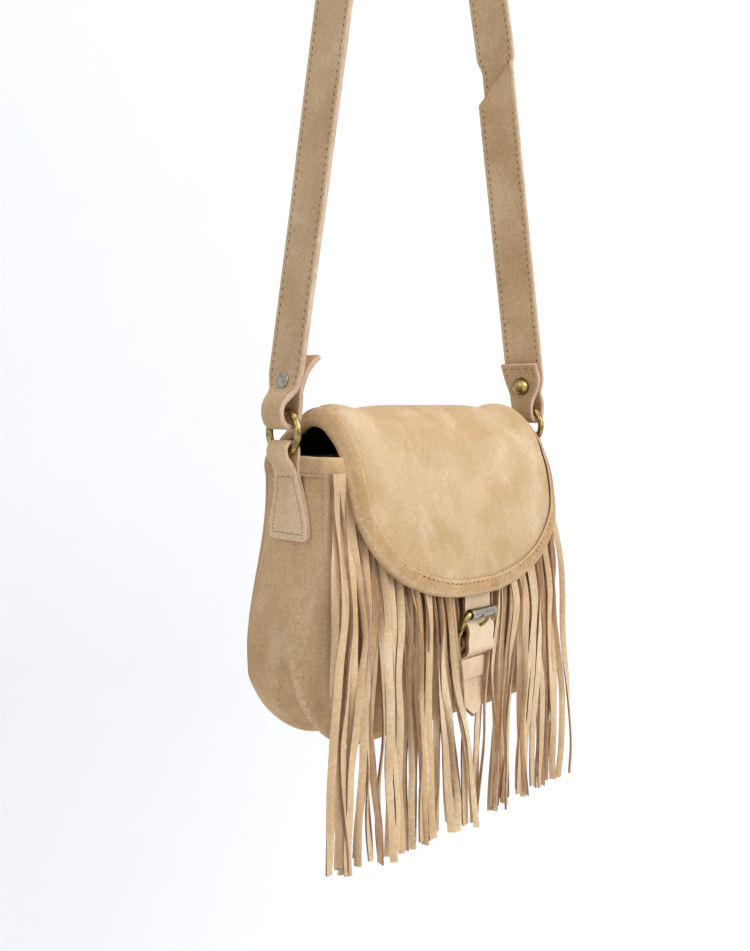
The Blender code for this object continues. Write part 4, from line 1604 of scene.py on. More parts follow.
    def binding(self) -> tuple[Piece, Piece]:
        """Folds the binding round the flap's edge and sews it down.

        Returns:
            The binding and its stitches.
        """
        edge = Route([(x, run, 0) for x, run in self.edge()], 2)
        thick = 0.0029
        beyond = 0.0016
        wide = self.binding_width
        fold = Route(
            [(wide, thick - 0.0006, 0), (0.75 * wide, thick + 0.0002, 0), (0.40 * wide, thick + 0.0003, 0),
             (0.08 * wide, 0.82 * thick, 0), (-0.0012, 0.45 * thick, 0), (-0.0016, -0.1 * thick, 0),
             (-0.0010, -0.75 * thick, 0), (0.12 * wide, -1.1 * thick, 0), (0.5 * wide, -1.15 * thick, 0),
             (0.95 * wide, -1.1 * thick, 0)]
        )

        def spot(s: float, t: float) -> Spot:
            """A point of the fold's middle, and the way that the flap faces there.

            Args:
                s: Share of the bound edge's length.
                t: Share of the fold, from its outer hem to its inner one.

            Returns:
                The point and the direction.
            """
            run = s * edge.length
            along = edge.heading(run, 0.002)
            inward = Vector((along.y, -along.x, 0))
            if abs(edge.at(run).x) > 0.999 * self.half_width:
                inward = Vector((-math.copysign(1, edge.at(run).x), 0, 0))
            section = fold.at(t * fold.length)
            flat = edge.at(run) + inward * section.x
            x = min(max(flat.x, -self.half_width - beyond), self.half_width + beyond)
            ripple = 0.00035 * drift(flat + Vector((0, 0, t)), 0.012, 6.0)
            return self.spot(x, flat.y, section.y + ripple)

        obj = lay_grid(
            "flap_binding_suede", (260, 26), (edge.length, fold.length), lambda s, t: spot(s, t)[0],
            lambda s, t: 0.9 * (1 - smooth(t / 0.06)) + 0.5 * bell(t - 0.36, 0.07),
        )
        dress(obj, self.finishes.binding, self.finishes.raw_edge)
        thicken(obj, self.pouch.binding_ply, self.pouch.binding_soft)
        row = []
        first, marks = 52, 150
        for k in range(first, marks):
            place, out = spot((k + 0.5) / marks, 0.09)
            row.append((place + out * self.pouch.stitch_lift, out))
        return obj, FLAP_SEAM.sew("flap_stitches", [row], self.finishes)

    def back_seam(self) -> Piece:
        """Sews the flap to the back panel with two rows.

        Returns:
            The stitches.
        """
        lift = self.thickness / 2
        rows = []
        for run in (0.0030, 0.0105):
            places = [0.94 * self.half_width * (k / 30 - 1) for k in range(61)]
            rows.append([self.spot(x, run, lift) for x in places])
        return FLAP_SEAM.sew("back_seam_stitches", rows, self.finishes)

    def build(self) -> None:
        """Builds the flap and puts it on the bag."""
        face = self.sheet()
        enter(face, "bag", "suede_flap", "flap")
        lining = self.lining()
        enter(lining, "bag", "lining_cloth", "flap_lining")
        enter(self.back_seam(), "bag", "suede_flap")
        binding, stitches = self.binding()
        enter(binding, "bag", "suede_body", "flap_binding")
        enter(stitches, "bag", "suede_body")


@dataclass
class Fringe(Part):
    """Four combs of suede, two layers on each half of the front, cut into strips below their bands.

    top is the band's fall below the rim and band its height. The pitch runs from strip to strip,
    rows counts a comb's cells along, of which band_rows are the uncut band, and fullest is the
    share of the body's height where its belly ends.
    """

    pouch: Pouch
    top: float = 0.0072
    band: float = 0.0105
    length: float = 0.2265
    side_margin: float = 0.0004
    right_margin: float = 0.0080
    centre_gap: float = 0.0170
    pitch: float = 0.0049
    strip: float = 0.0045
    thickness: float = 0.0013
    rows: int = 54
    band_rows: int = 3
    fullest: float = 0.65
    wide: float = 0.0950

    @property
    def outer(self) -> float:
        """How far from the middle the outermost strip can lie."""
        return self.pouch.width / 2 - self.side_margin

    def hang(self, x: float, fall: float) -> float:
        """Where a strip can hang: on the panel down to its fullest place, then straight down."""
        deepest = min(fall, self.fullest * self.pouch.height)
        return self.pouch.front_y - 0.0026 - self.pouch.bulge_at(x, deepest) - 0.0008

    def build(self) -> None:
        """Builds the four combs and puts them on the bag."""
        for side in Side:
            for layer in Layer:
                comb = Comb(self, side, layer).build()
                enter(comb, "bag", "suede_fringe", f"fringe_{side.word}_{layer.name.lower()}")


@dataclass
class Comb:
    """One sheet of the fringe, slit into strips that hang, twist and gather below its band.

    The strips' lengths differ by uneven. They come loose over loose_run below the band, and turn
    by up to half of fan, in degrees, and by wander more on their way down.
    """

    fringe: Fringe
    side: Side
    layer: Layer
    layer_step: float = 0.0012
    uneven: float = 0.006
    loose_run: float = 0.09
    fan: float = 190.0
    wander: float = 110.0
    spread: float = 0.0165

    def __post_init__(self) -> None:
        """Counts the strips between the comb's two ends, with four columns of points in each."""
        outer = self.fringe.outer
        if self.side is Side.RIGHT:
            self.start, self.end = self.fringe.centre_gap, outer - self.fringe.right_margin
        else:
            self.start, self.end = -outer, -self.fringe.centre_gap
        self.columns = 4 * int((self.end - self.start) / self.fringe.pitch) - 1
        self.seed = 31.0 * self.layer.value + 7.0 * self.side.value

    def place(self, s: float, t: float) -> Vector:
        """Where a point of the comb hangs.

        Args:
            s: Share of its width.
            t: Share of its length.

        Returns:
            The point.
        """
        number, corner = divmod(round(s * self.columns), 4)
        row = round(t * self.fringe.rows)
        root = self.start + (number + 0.5) * self.fringe.pitch
        offset = (corner / 3 - 0.5) * self.fringe.strip
        if row <= self.fringe.band_rows:
            return self.band_point(root + offset, row / self.fringe.band_rows)
        share = (row - self.fringe.band_rows) / (self.fringe.rows - self.fringe.band_rows)
        return self.strip_point(number, root, offset, share)

    def band_point(self, x: float, share: float) -> Vector:
        """A point of the uncut band.

        Args:
            x: Place across the bag.
            share: Share of the band's height, from its top.

        Returns:
            The point.
        """
        fringe = self.fringe
        fall = fringe.top + fringe.band * share
        out = 0.0002 + self.layer_step * self.layer.value + 0.0009 * share
        return fringe.pouch.pinch(Vector((x, fringe.hang(x, fall) - out, fringe.pouch.rim_z - fall)))

    def strip_point(self, number: int, root: float, offset: float, share: float) -> Vector:
        """A point of a strip, which is straight at the band and goes its own way below it.

        Args:
            number: The strip's number.
            root: Where its middle leaves the band.
            offset: Distance from its middle.
            share: Share of its length below the band.

        Returns:
            The point.
        """
        fringe, pouch, layer = self.fringe, self.fringe.pouch, self.layer.value
        key = self.seed + 1.37 * number
        run = share * (fringe.length - fringe.band + self.uneven * (dice(key) - 0.6))
        fall = fringe.top + fringe.band + run
        loose = smooth(run / self.loose_run)
        free = smooth((fall - 0.75 * pouch.height) / 0.09)
        x = root + self.sideways(key, root, fall, share, loose)
        wave = 0.5 + 0.5 * drift(Vector((key, fall, 1)), 0.06, 4.0)
        depth = 0.0011 + self.layer_step * layer + loose * (0.0016 * layer + 0.0070 * wave)
        depth += 0.0062 * loose * dice(key + 2) * (0.4 + 0.6 * layer)
        y = fringe.hang(root, fall) - depth - 0.004 * free * (dice(key + 9) - 0.3)
        lean = (dice(key + 3) - 0.5) * math.radians(self.fan)
        wander = math.radians(self.wander) * drift(Vector((key, fall, 2)), 0.09, 5.0)
        angle = smooth(run / 0.030) * (lean * (1 - 0.40 * free) + wander)
        cup = 0.0004 * (1 - (2 * offset / fringe.strip) ** 2)
        turned = Vector((math.cos(angle), math.sin(angle), 0)) * offset
        turned += Vector((math.sin(angle), -math.cos(angle), 0)) * cup * loose
        slant = 0.25 * offset * (dice(key + 4) - 0.5) * share
        middle = pouch.pinch(Vector((x, y, pouch.rim_z - fall + slant)))
        return middle + turned * (0.80 + 0.34 * dice(key + 7))

    def sideways(self, key: float, root: float, fall: float, share: float, loose: float) -> float:
        """How far a strip has moved sideways.

        Args:
            key: The strip's own number for what is drawn at random.
            root: Where its middle leaves the band.
            fall: Distance below the rim.
            share: Share of its length below the band.
            loose: How free it is of the band, from 0 to 1.

        Returns:
            The distance, from gathering with its neighbours, its own bends and the comb's spread.
        """
        gap = self.fringe.centre_gap
        here = Vector((root, 0.12 * fall, self.seed))
        gather = 0.0085 * loose * drift(here, 0.030, 1.0) + 0.0060 * loose * drift(here, 0.013, 2.0)
        own = 0.0050 * loose * drift(Vector((key * 3.1, fall, 0)), 0.105, 3.0)
        own += 0.0018 * loose * drift(Vector((key * 5.3, fall, 4)), 0.034, 6.0)
        tilt = 0.0120 * (share**1.2) * (dice(key + 5) - 0.5)
        inner = 1 - min(max((abs(root) - gap) / (self.fringe.outer - gap), 0), 1)
        lean_in = -math.copysign(1, root) * self.spread * share**1.3 * inner**1.5
        spill = -0.0050 * share**1.5 * (1 - inner) ** 2
        return gather + own + tilt + lean_in + spill

    def tone(self, s: float, t: float) -> float:
        """How pale a strip is, the same all down its length."""
        return 0.55 * dice(self.seed + 2.3 * (round(s * self.columns) // 4)) ** 1.4

    def slit(self, obj: Piece) -> None:
        """Takes out the cells between the strips, below the band.

        Args:
            obj: The comb, with all of its cells.
        """
        wide, fringe = self.end - self.start, self.fringe
        take(obj)
        with editing():
            bpy.ops.mesh.select_mode(type="FACE")
        cut = obj.data.uv_layers["cut"].data
        for face in obj.data.polygons:
            column = min(cut[k].uv.x for k in face.loop_indices) / wide * self.columns
            row = min(cut[k].uv.y for k in face.loop_indices) / fringe.length * fringe.rows
            face.select = round(column) % 4 == 3 and round(row) >= fringe.band_rows
        with editing():
            bpy.ops.mesh.delete(type="FACE")

    def build(self) -> Piece:
        """Cuts the comb and hangs it.

        Returns:
            The comb.
        """
        name = f"fringe_{self.side.word}_{self.layer.name.lower()}_strips"
        cells = (self.columns, self.fringe.rows)
        obj = lay_grid(name, cells, (self.end - self.start, self.fringe.length), self.place, self.tone)
        self.slit(obj)
        looks = self.fringe.finishes
        dress(obj, looks.fringe, looks.fringe_edge)
        thicken(obj, self.fringe.thickness, 0)
        return obj


@dataclass
class Rings(Part):
    """The two round rings that join the strap to the gusset tabs."""

    pouch: Pouch
    radius: float = 0.01325
    wire: float = 0.00225
    out: float = 0.1206
    rise: float = 0.0165

    @property
    def top_z(self) -> float:
        """Height of the wire's centre at the top of a ring."""
        return self.pouch.rim_z + self.rise + self.radius

    @property
    def low_z(self) -> float:
        """Height of the wire's centre at the bottom of a ring."""
        return self.pouch.rim_z + self.rise - self.radius

    def build(self) -> None:
        """Builds both rings, each on its own body."""
        for side in Side:
            deselect()
            bpy.ops.mesh.primitive_torus_add(
                location=(side.value * self.out, 0, self.pouch.rim_z + self.rise),
                rotation=(0, math.pi / 2, 0), major_segments=96, minor_segments=24,
                major_radius=self.radius, minor_radius=self.wire,
            )
            ring = named(f"ring_{side.word}_brass")
            settle(ring)
            dress(ring, self.finishes.brass)
            shade(ring, 60)
            enter(ring, f"{side.word}_ring", "antique_brass", f"ring_{side.word}")


@dataclass
class ShoulderStrap(Part):
    """The strap in two lengths, folded round the rings, riveted and joined in a slanted lap.

    The lean is how far a leg runs inwards for each metre up. The hook is the bend's inner radius
    at the top, and the lap's middle stands lap_rise above the rim. The legs start leg_rise above
    the ring's wire, off its centre by offset. The twists are in degrees.
    """

    rings: Rings
    width: float = 0.0300
    end_width: float = 0.0180
    thickness: float = 0.0030
    lean: float = 0.165
    hook: float = 0.0200
    lap: float = 0.0290
    lap_rise: float = 0.2700
    lap_gap: float = 0.0002
    end_inset: float = 0.0034
    rivet_rise: float = 0.0175
    cap_radius: float = 0.0066
    base_radius: float = 0.0050
    row_inset: float = 0.0032
    leg_rise: float = 0.0400
    offset: float = 0.0016
    left_twist: float = 8.0
    right_twist: float = 13.0

    def axes(self, side: Side) -> tuple[Vector, Vector, Vector]:
        """The wire's place, the way up the leg and the way out from the bag.

        Args:
            side: The side of the bag.

        Returns:
            The place and the two directions.
        """
        sign = side.value
        wire = Vector((sign * self.rings.out, 0, self.rings.top_z))
        return wire, Vector((-sign * self.lean, 0, 1)).normalized(), Vector((sign, 0, self.lean)).normalized()

    def loop(self, side: Side) -> list[Vector]:
        """Points from the tail's tip down round the ring's wire and up the leg.

        Args:
            side: The side of the bag.

        Returns:
            The points.
        """
        wire, up, out = self.axes(side)
        flare = 1.0 if side is Side.LEFT else 0.35
        keys = [
            (0.0345, -0.0018 - 0.0088 * flare), (0.0290, -0.0017 - 0.0044 * flare),
            (0.0235, -0.0017 - 0.0010 * flare), (0.0175, -0.0017), (0.0120, -0.0022),
            (0.0060, -0.0046), (0.0000, -0.0057), (-0.0052, -0.0055), (-0.0090, -0.0030),
            (-0.0101, 0.0008), (-0.0088, 0.0050), (-0.0042, 0.0080), (0.0012, 0.0084),
            (0.0058, 0.0064), (0.0098, 0.0034), (0.0130, 0.0018), (0.0175, self.offset),
            (0.0260, self.offset), (self.leg_rise, self.offset),
        ]
        return [wire + up * height + out * offset for height, offset in keys]

    def half_at(self, height: float) -> float:
        """Half of the strap's width at a height above the ring's wire."""
        narrow = self.end_width / 2
        return narrow + (self.width / 2 - narrow) * smooth((height + 0.002) / 0.027)

    def leg(self, side: Side) -> tuple[Vector, Vector]:
        """Where the straight leg starts above the rivet, and where it meets the top bend.

        Args:
            side: The side of the bag.

        Returns:
            The two places.
        """
        wire, up, out = self.axes(side)
        lean = math.atan(self.lean)
        foot = wire + up * self.leg_rise + out * self.offset
        return foot, self.bend(lean if side is Side.RIGHT else math.pi - lean)

    def bend(self, angle: float) -> Vector:
        """A point of the bend at the top, at an angle from the right."""
        hook = self.hook + self.thickness / 2
        return Vector((math.cos(angle), 0, math.sin(angle))) * hook - Vector((0, 0, self.hook))

    def lap_line(self) -> tuple[Vector, Vector, float]:
        """The right leg's top, its way down and the distance down it to the lap's middle.

        Returns:
            The top, the direction and the distance.
        """
        foot, top = self.leg(Side.RIGHT)
        line = (foot - top).normalized()
        middle_z = self.rings.pouch.rim_z + self.lap_rise
        return top, line, (top.z - middle_z) / -line.z

    @staticmethod
    def across(angle: float) -> Vector:
        """The way across the strap, turned by an angle about the vertical."""
        return Vector((-math.sin(angle), math.cos(angle), 0))

    def long_route(self) -> Route:
        """The long length, from the left tail up the left leg, over the top and down to the lap.

        Returns:
            The route.
        """
        start, top = self.leg(Side.LEFT)
        points = self.loop(Side.LEFT)
        for k in range(1, 14):
            place = start.lerp(top, k / 14)
            points.append(place + Vector((0.0008 * drift(place, 0.12, 8.0), 0, 0)))
        lean = math.atan(self.lean)
        points += [self.bend(math.pi - lean - (math.pi - 2 * lean) * k / 10) for k in range(11)]
        top, line, reach = self.lap_line()
        step = self.axes(Side.RIGHT)[2] * (self.thickness + self.lap_gap)
        near = reach - self.lap / 2
        points += [top + line * (near - 0.070) * share for share in (0.25, 0.5, 0.75, 1.0)]
        points.append(top + line * (near - 0.038) + step * 0.5)
        points.append(top + line * (near - 0.006) + step)
        points.append(top + line * (reach + self.lap / 2) + step)
        return Route(points)

    def short_route(self) -> Route:
        """The short length, from the right tail up the right leg to the lap.

        Returns:
            The route.
        """
        foot = self.leg(Side.RIGHT)[0]
        top, line, reach = self.lap_line()
        end = top + line * (reach - self.lap / 2)
        return Route([*self.loop(Side.RIGHT), *(foot.lerp(end, k / 7) for k in range(1, 8))])

    def ribbons(self) -> tuple[Ribbon, Ribbon]:
        """The long and the short length of the strap.

        Returns:
            Both lengths.
        """
        wire_z = self.rings.top_z
        long_route, short_route = self.long_route(), self.short_route()
        tail_runs = Route(self.loop(Side.LEFT)).length

        def long_half(run: float) -> float:
            """Half of the long length's width, narrower at its end behind the lap.

            Args:
                run: Distance along the route.

            Returns:
                The half width.
            """
            place = long_route.at(run)
            if place.x < 0:
                return self.half_at(place.z - wire_z)
            return self.width / 2 - self.end_inset * smooth((run - long_route.length + 0.034) / 0.012)

        def long_across(run: float) -> Vector:
            """The long length's way across, which twists a little on each leg.

            Args:
                run: Distance along the route.

            Returns:
                The direction.
            """
            share = min(max((run - tail_runs) / 0.55, 0), 1)
            angle = math.radians(self.left_twist) * math.sin(math.pi * share) ** 1.5
            place = long_route.at(run)
            if place.x > 0:
                angle = math.radians(self.right_twist) * smooth((-place.z - 0.05) / 0.3)
            return self.across(angle)

        def short_half(run: float) -> float:
            """Half of the short length's width."""
            return self.half_at(short_route.at(run).z - wire_z)

        def short_across(run: float) -> Vector:
            """The short length's way across, straight at the ring and turned at the lap.

            Args:
                run: Distance along the route.

            Returns:
                The direction.
            """
            height = short_route.at(run).z - wire_z
            past = smooth((run - 0.045) / 0.02)
            angle = math.radians(self.right_twist) * smooth((height - 0.002) / 0.02) * (0.55 + 0.45 * past)
            return self.across(angle)

        return (
            Ribbon("strap_long_suede", long_route, long_half, self.thickness, long_across),
            Ribbon("strap_short_suede", short_route, short_half, self.thickness, short_across, self.lap),
        )

    def rivet_cap(self, name: str) -> Piece:
        """Models a domed cap with its post.

        Args:
            name: Name of the piece.

        Returns:
            The cap, its flat side down.
        """
        deselect()
        bpy.ops.mesh.primitive_uv_sphere_add(segments=40, ring_count=20, radius=self.cap_radius)
        cap = named(name)
        with editing("SELECT"):
            bpy.ops.mesh.bisect(plane_co=(0, 0, 0), plane_no=(0, 0, 1), clear_inner=True, use_fill=True)
            bpy.ops.transform.resize(value=(1, 1, 0.38))
            bpy.ops.mesh.select_all(action="DESELECT")
        for face in cap.data.polygons:
            face.select = face.normal.z < -0.9
        with editing():
            bpy.ops.mesh.extrude_region_move(TRANSFORM_OT_translate={"value": (0, 0, -0.0006)})
            bpy.ops.mesh.inset(thickness=0.0012)
            bpy.ops.mesh.extrude_region_move(TRANSFORM_OT_translate={"value": (0, 0, -0.0010)})
        return cap

    def rivet_base(self, name: str) -> Piece:
        """Models a flat base with a shallow dish.

        Args:
            name: Name of the piece.

        Returns:
            The base.
        """
        deselect()
        bpy.ops.mesh.primitive_cylinder_add(vertices=40, radius=self.base_radius, depth=0.0010)
        base = named(name)
        for face in base.data.polygons:
            face.select = face.normal.z > 0.9
        with editing():
            bpy.ops.mesh.inset(thickness=0.0011)
            bpy.ops.mesh.inset(thickness=0.0018, depth=-0.00018)
        return base

    def rivet(self, side: Side) -> None:
        """Builds a domed cap on the tail and a flat base on the outer face.

        Args:
            side: The side of the bag.
        """
        wire, up, out = self.axes(side)
        seat = wire + up * self.rivet_rise
        turn = Matrix((up, -ALONG_Y * side.value, out)).transposed().to_4x4()

        cap = self.rivet_cap(f"rivet_cap_{side.word}_brass")
        inner = seat - out * (self.thickness + 0.0008)
        cap.data.transform(Matrix.Translation(inner) @ turn @ Matrix.Rotation(math.pi, 4, "X"))
        apply_modifier(cap, "BEVEL", width=0.00025, segments=2, limit_method="ANGLE")
        dress(cap, self.finishes.brass)
        shade(cap, 45)
        enter(cap, "strap", "antique_brass", f"rivet_cap_{side.word}")

        base = self.rivet_base(f"rivet_base_{side.word}_nickel")
        outer = seat + out * (self.thickness + 0.0006)
        base.data.transform(Matrix.Translation(outer) @ turn)
        apply_modifier(base, "BEVEL", width=0.0003, segments=3, limit_method="ANGLE")
        dress(base, self.finishes.nickel)
        shade(base, 45)
        enter(base, "strap", "nickel", f"rivet_base_{side.word}")

    def build(self) -> None:
        """Builds the strap, its stitches and its rivets."""
        long_strap, short_strap = self.ribbons()
        cuts = (self.finishes.strap, self.finishes.raw_edge)
        enter(long_strap.build((12, 620), cuts), "strap", "suede_strap", "strap_long")
        enter(short_strap.build((12, 260), cuts), "strap", "suede_strap", "strap_short")
        tip, tail_end, leg_start = 0.0035, 0.026, 0.072
        for ribbon, tail, spare in ((long_strap, 1, 0.003), (short_strap, -1, 0.033)):
            end = ribbon.route.length - spare
            rows = []
            for edge in (-1, 1):
                rows.append(ribbon.row(self.row_inset, tip, tail_end, edge, tail))
                for face in (1, -1):
                    rows.append(ribbon.row(self.row_inset, leg_start, end, edge, face))
            rows.append([ribbon.spot(-0.74 + 1.48 * k / 6, tip, tail) for k in range(7)])
            stitches = STRAP_SEAM.sew(ribbon.name.replace("suede", "stitches"), rows, self.finishes)
            enter(stitches, "strap", "suede_strap")
        for side in Side:
            self.rivet(side)


@dataclass
class GussetTabs(Part):
    """The two strips folded through the rings and sewn to the gusset."""

    pouch: Pouch
    rings: Rings
    ply: float = 0.0018
    top_width: float = 0.0178
    waist_width: float = 0.0190
    foot_width: float = 0.0350
    fall: float = 0.0480
    foot_corner: float = 0.0045
    row_inset: float = 0.0036

    def half_at(self, z: float) -> float:
        """Half of the tab's width at a height.

        Args:
            z: Height.

        Returns:
            The half width.
        """
        below = self.pouch.rim_z - z
        waist = self.waist_width / 2
        if below > 0:
            return waist + (self.foot_width / 2 - waist) * smooth(below / (self.fall - 0.002)) ** 1.1
        return waist + (self.top_width / 2 - waist) * smooth(-below / 0.010)

    def ribbon(self, side: Side) -> Ribbon:
        """The strip's route, up its outer ply, over the wire and down its inner ply.

        Args:
            side: The side of the bag.

        Returns:
            The strip.
        """
        rim = self.pouch.rim_z
        wire = self.rings.out
        low = self.rings.low_z - rim
        keys = [
            (-self.fall, 0.1170), (-0.034, 0.1170), (-0.022, 0.1173), (-0.013, 0.1182), (-0.007, 0.1192),
            (-0.002, 0.1219), (low - 0.001, wire + 0.0046), (low + 0.0035, wire + 0.0050),
            (low + 0.0066, wire + 0.0033), (low + 0.0078, wire), (low + 0.0066, wire - 0.0032),
            (low + 0.0034, wire - 0.0045), (low - 0.0010, wire - 0.0043), (-0.003, 0.1166),
            (-0.008, 0.1166), (-0.013, 0.1160), (-0.022, 0.1151), (-0.034, 0.1150),
            (-self.fall + 0.0005, 0.1150),
        ]
        route = Route([(side.value * x, 0, rim + z) for z, x in keys])

        def half(run: float) -> float:
            """Half of the tab's width, with the foot's corners rounded.

            Args:
                run: Distance along the route.

            Returns:
                The half width.
            """
            z = route.at(run).z
            foot = z - (rim - self.fall)
            corner = self.foot_corner
            trim = corner - math.sqrt(max(corner**2 - max(corner - foot, 0) ** 2, 0))
            return self.half_at(z) - trim

        return Ribbon(f"gusset_tab_{side.word}_suede", route, half, self.ply)

    def build(self) -> None:
        """Builds both tabs with their stitches."""
        for side in Side:
            ribbon = self.ribbon(side)
            obj = ribbon.build((18, 150), (self.finishes.tab, self.finishes.raw_edge))
            enter(obj, "bag", "suede_body", f"gusset_tab_{side.word}")
            face = 1 if side is Side.LEFT else -1
            low, high = 0.0042, self.fall - 0.0098
            rows = [ribbon.row(self.row_inset, 0.0050, high, edge, face) for edge in (-1, 1)]
            for run, steps in ((low, 8), (high, 6)):
                share = 1 - self.row_inset / ribbon.half(run)
                places = [share * (2 * k / steps - 1) for k in range(steps + 1)]
                rows.append([ribbon.spot(place, run, face) for place in places])
            stitches = TAB_SEAM.sew(f"gusset_tab_{side.word}_stitches", rows, self.finishes)
            enter(stitches, "bag", "suede_body")


@dataclass
class Closure(Part):
    """The pointed strap from under the flap, the roller buckle, its chape and the keeper.

    tip is the strap's fall below the rim, point the length of its point and prong the prong's
    radius. The clearance lies between pieces that touch, and the play between the strap's edge
    and the frame's inside.
    """

    pouch: Pouch
    flap: Flap
    width: float = 0.0250
    thickness: float = 0.0022
    tip: float = 0.1685
    point: float = 0.0150
    clearance: float = 0.0003
    play: float = 0.0006
    rod: float = 0.0020
    frame_corner: float = 0.0036
    roller_radius: float = 0.0034
    roller_wall: float = 0.0009
    prong: float = 0.0011
    chape_ply: float = 0.0014
    chape_fall: float = 0.1500
    keeper_fall: float = 0.1305
    keeper_height: float = 0.0130
    keeper_wall: float = 0.0012

    def __post_init__(self) -> None:
        """Takes the heel bar's and the roller's places from the frame."""
        low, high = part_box("buckle_frame")
        self.heel = Vector((0, high.y - self.rod, low.z + self.rod))
        low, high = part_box("buckle_roller")
        self.roller = Vector((0, (low.y + high.y) / 2, (low.z + high.z) / 2))
        self.up = (self.roller - self.heel).normalized()
        self.out = Vector((0, -self.up.z, self.up.y))
        self.side = self.width / 2 + self.play + self.rod

    def strap(self) -> None:
        """Builds the pointed strap, from under the flap over the buckle and through the keeper."""
        rim = self.pouch.rim_z
        half = self.thickness / 2
        hidden = -0.0048
        sewn, _ = self.flap.spot(0, self.flap.profile.length - 0.030, hidden)
        foot, _ = self.flap.spot(0, self.flap.profile.length, hidden)
        behind = self.roller.y + self.roller_radius + self.clearance + half
        before = self.heel.y - self.rod - self.chape_ply - self.prong - self.clearance - half
        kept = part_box("keeper_loop")[0].y + self.keeper_wall + self.clearance + half
        between = ((behind + before) / 2 - 0.0026, (self.roller.z + self.heel.z) / 2)
        keeper, tip = rim - self.keeper_fall, rim - self.tip
        keys = [
            (sewn.y, sewn.z), (max(foot.y, behind), foot.z), (behind, self.roller.z + 0.003),
            (behind + 0.0002, self.roller.z - 0.003), between,
            (before - 0.0014, self.heel.z + 0.003), (before - 0.0012, self.heel.z - 0.004),
            (kept, keeper), (kept, keeper - self.keeper_height), (kept - 0.0004, tip + self.point),
            (kept - 0.0012, tip + 0.4 * self.point), (kept - 0.0018, tip),
        ]
        route = Route([(0, y, z) for y, z in keys])

        def half_at(run: float) -> float:
            """Half of the strap's width, which rounds in to its point.

            Args:
                run: Distance along the route.

            Returns:
                The half width.
            """
            left = max(route.length - run, 0.0)
            share = min(left / (1.15 * self.point), 1)
            return max(self.width / 2 * math.sin(math.pi / 2 * share) ** 0.8, 0.0006)

        ribbon = Ribbon(
            "closure_strap_suede", route, half_at, self.thickness, lambda run: ALONG_X, curl=0.0007
        )
        obj = ribbon.build((24, 170), (self.finishes.closure, self.finishes.fringe_edge))
        enter(obj, "bag", "suede_body", "closure_strap")

    def bar(self, name: str, path: Sequence[Vector], radius: float, closed: bool, sides: int) -> Piece:
        """Draws a round bar along points, from one circle carried from place to place.

        Args:
            name: Name of the piece.
            path: Its centre line.
            radius: Its radius.
            closed: Whether it runs in a loop. If not, its last end is thinned to a point.
            sides: Faces round it.

        Returns:
            The bar.
        """
        count = len(path)
        rows = count if closed else count - 1
        deselect()
        bpy.ops.mesh.primitive_grid_add(x_subdivisions=sides, y_subdivisions=rows, size=1)
        obj = named(name)
        flat = self.out if closed else ALONG_X
        for vertex in obj.data.vertices:
            row = round((vertex.co.y + 0.5) * rows)
            before, after = row - 1, row + 1
            if not closed:
                before, after = max(before, 0), min(after, rows)
            heading = (path[after % count] - path[before % count]).normalized()
            other = heading.cross(flat).normalized()
            thin = 1.0
            if not closed and row >= rows - 1:
                thin = 0.82 if row == rows - 1 else 0.35
            turn = 2 * math.pi * (vertex.co.x + 0.5)
            vertex.co = path[row % count] + (flat * math.cos(turn) + other * math.sin(turn)) * radius * thin
        apply_modifier(obj, "WELD", merge_threshold=0.00002)
        if not closed:
            with editing("DESELECT"):
                bpy.ops.mesh.select_mode(type="EDGE")
                bpy.ops.mesh.select_non_manifold()
                bpy.ops.mesh.edge_face_add()
        with editing("SELECT"):
            bpy.ops.mesh.normals_make_consistent(inside=False)
        shade(obj, 60)
        return obj

    def build_frame(self) -> None:
        """Builds the buckle's frame, a rounded rectangle of round bar."""
        corner = self.frame_corner
        places = ((1, self.heel, -1), (1, self.roller, 1), (-1, self.roller, 1), (-1, self.heel, -1))
        path = []
        for quarter, (sign, base, rise) in enumerate(places):
            middle = base + ALONG_X * (sign * (self.side - corner)) - self.up * (rise * corner)
            for k in range(9):
                angle = math.radians(90 * quarter - 90 + 90 * k / 8)
                path.append(middle + (ALONG_X * math.cos(angle) + self.up * math.sin(angle)) * corner)
        frame = self.bar("buckle_frame_brass", path, self.rod, True, 20)
        dress(frame, self.finishes.brass)
        enter(frame, "bag", "antique_brass", "buckle_frame")

    def build_roller(self) -> None:
        """Builds the roller, a tube that is bent from sheet and left open along one side."""
        reach = self.side - 0.0030 - self.clearance
        around = 48
        deselect()
        bpy.ops.mesh.primitive_cylinder_add(
            vertices=around, radius=self.roller_radius, depth=2 * reach, end_fill_type="NOTHING"
        )
        roller = named("buckle_roller_nickel")
        flat = self.roller_radius * math.cos(math.pi / around)
        for face in roller.data.polygons:
            face.select = face.center.x > 0.997 * flat and face.center.y > 0
        with editing():
            bpy.ops.mesh.select_mode(type="FACE")
            bpy.ops.mesh.delete(type="FACE")
            bpy.ops.mesh.select_all(action="SELECT")
            bpy.ops.mesh.subdivide(number_cuts=2)
        for vertex in roller.data.vertices:
            away = math.hypot(vertex.co.x, vertex.co.y)
            vertex.co.x *= self.roller_radius / away
            vertex.co.y *= self.roller_radius / away
        apply_modifier(roller, "SOLIDIFY", thickness=self.roller_wall, offset=-1)
        apply_modifier(
            roller, "BEVEL", width=0.0002, segments=2, limit_method="ANGLE", angle_limit=math.radians(50)
        )
        turn = Matrix((self.up, self.out, ALONG_X)).transposed().to_4x4()
        roller.data.transform(Matrix.Translation(self.roller) @ turn)
        dress(roller, self.finishes.nickel)
        shade(roller, 40)
        enter(roller, "roller", "nickel", "buckle_roller")

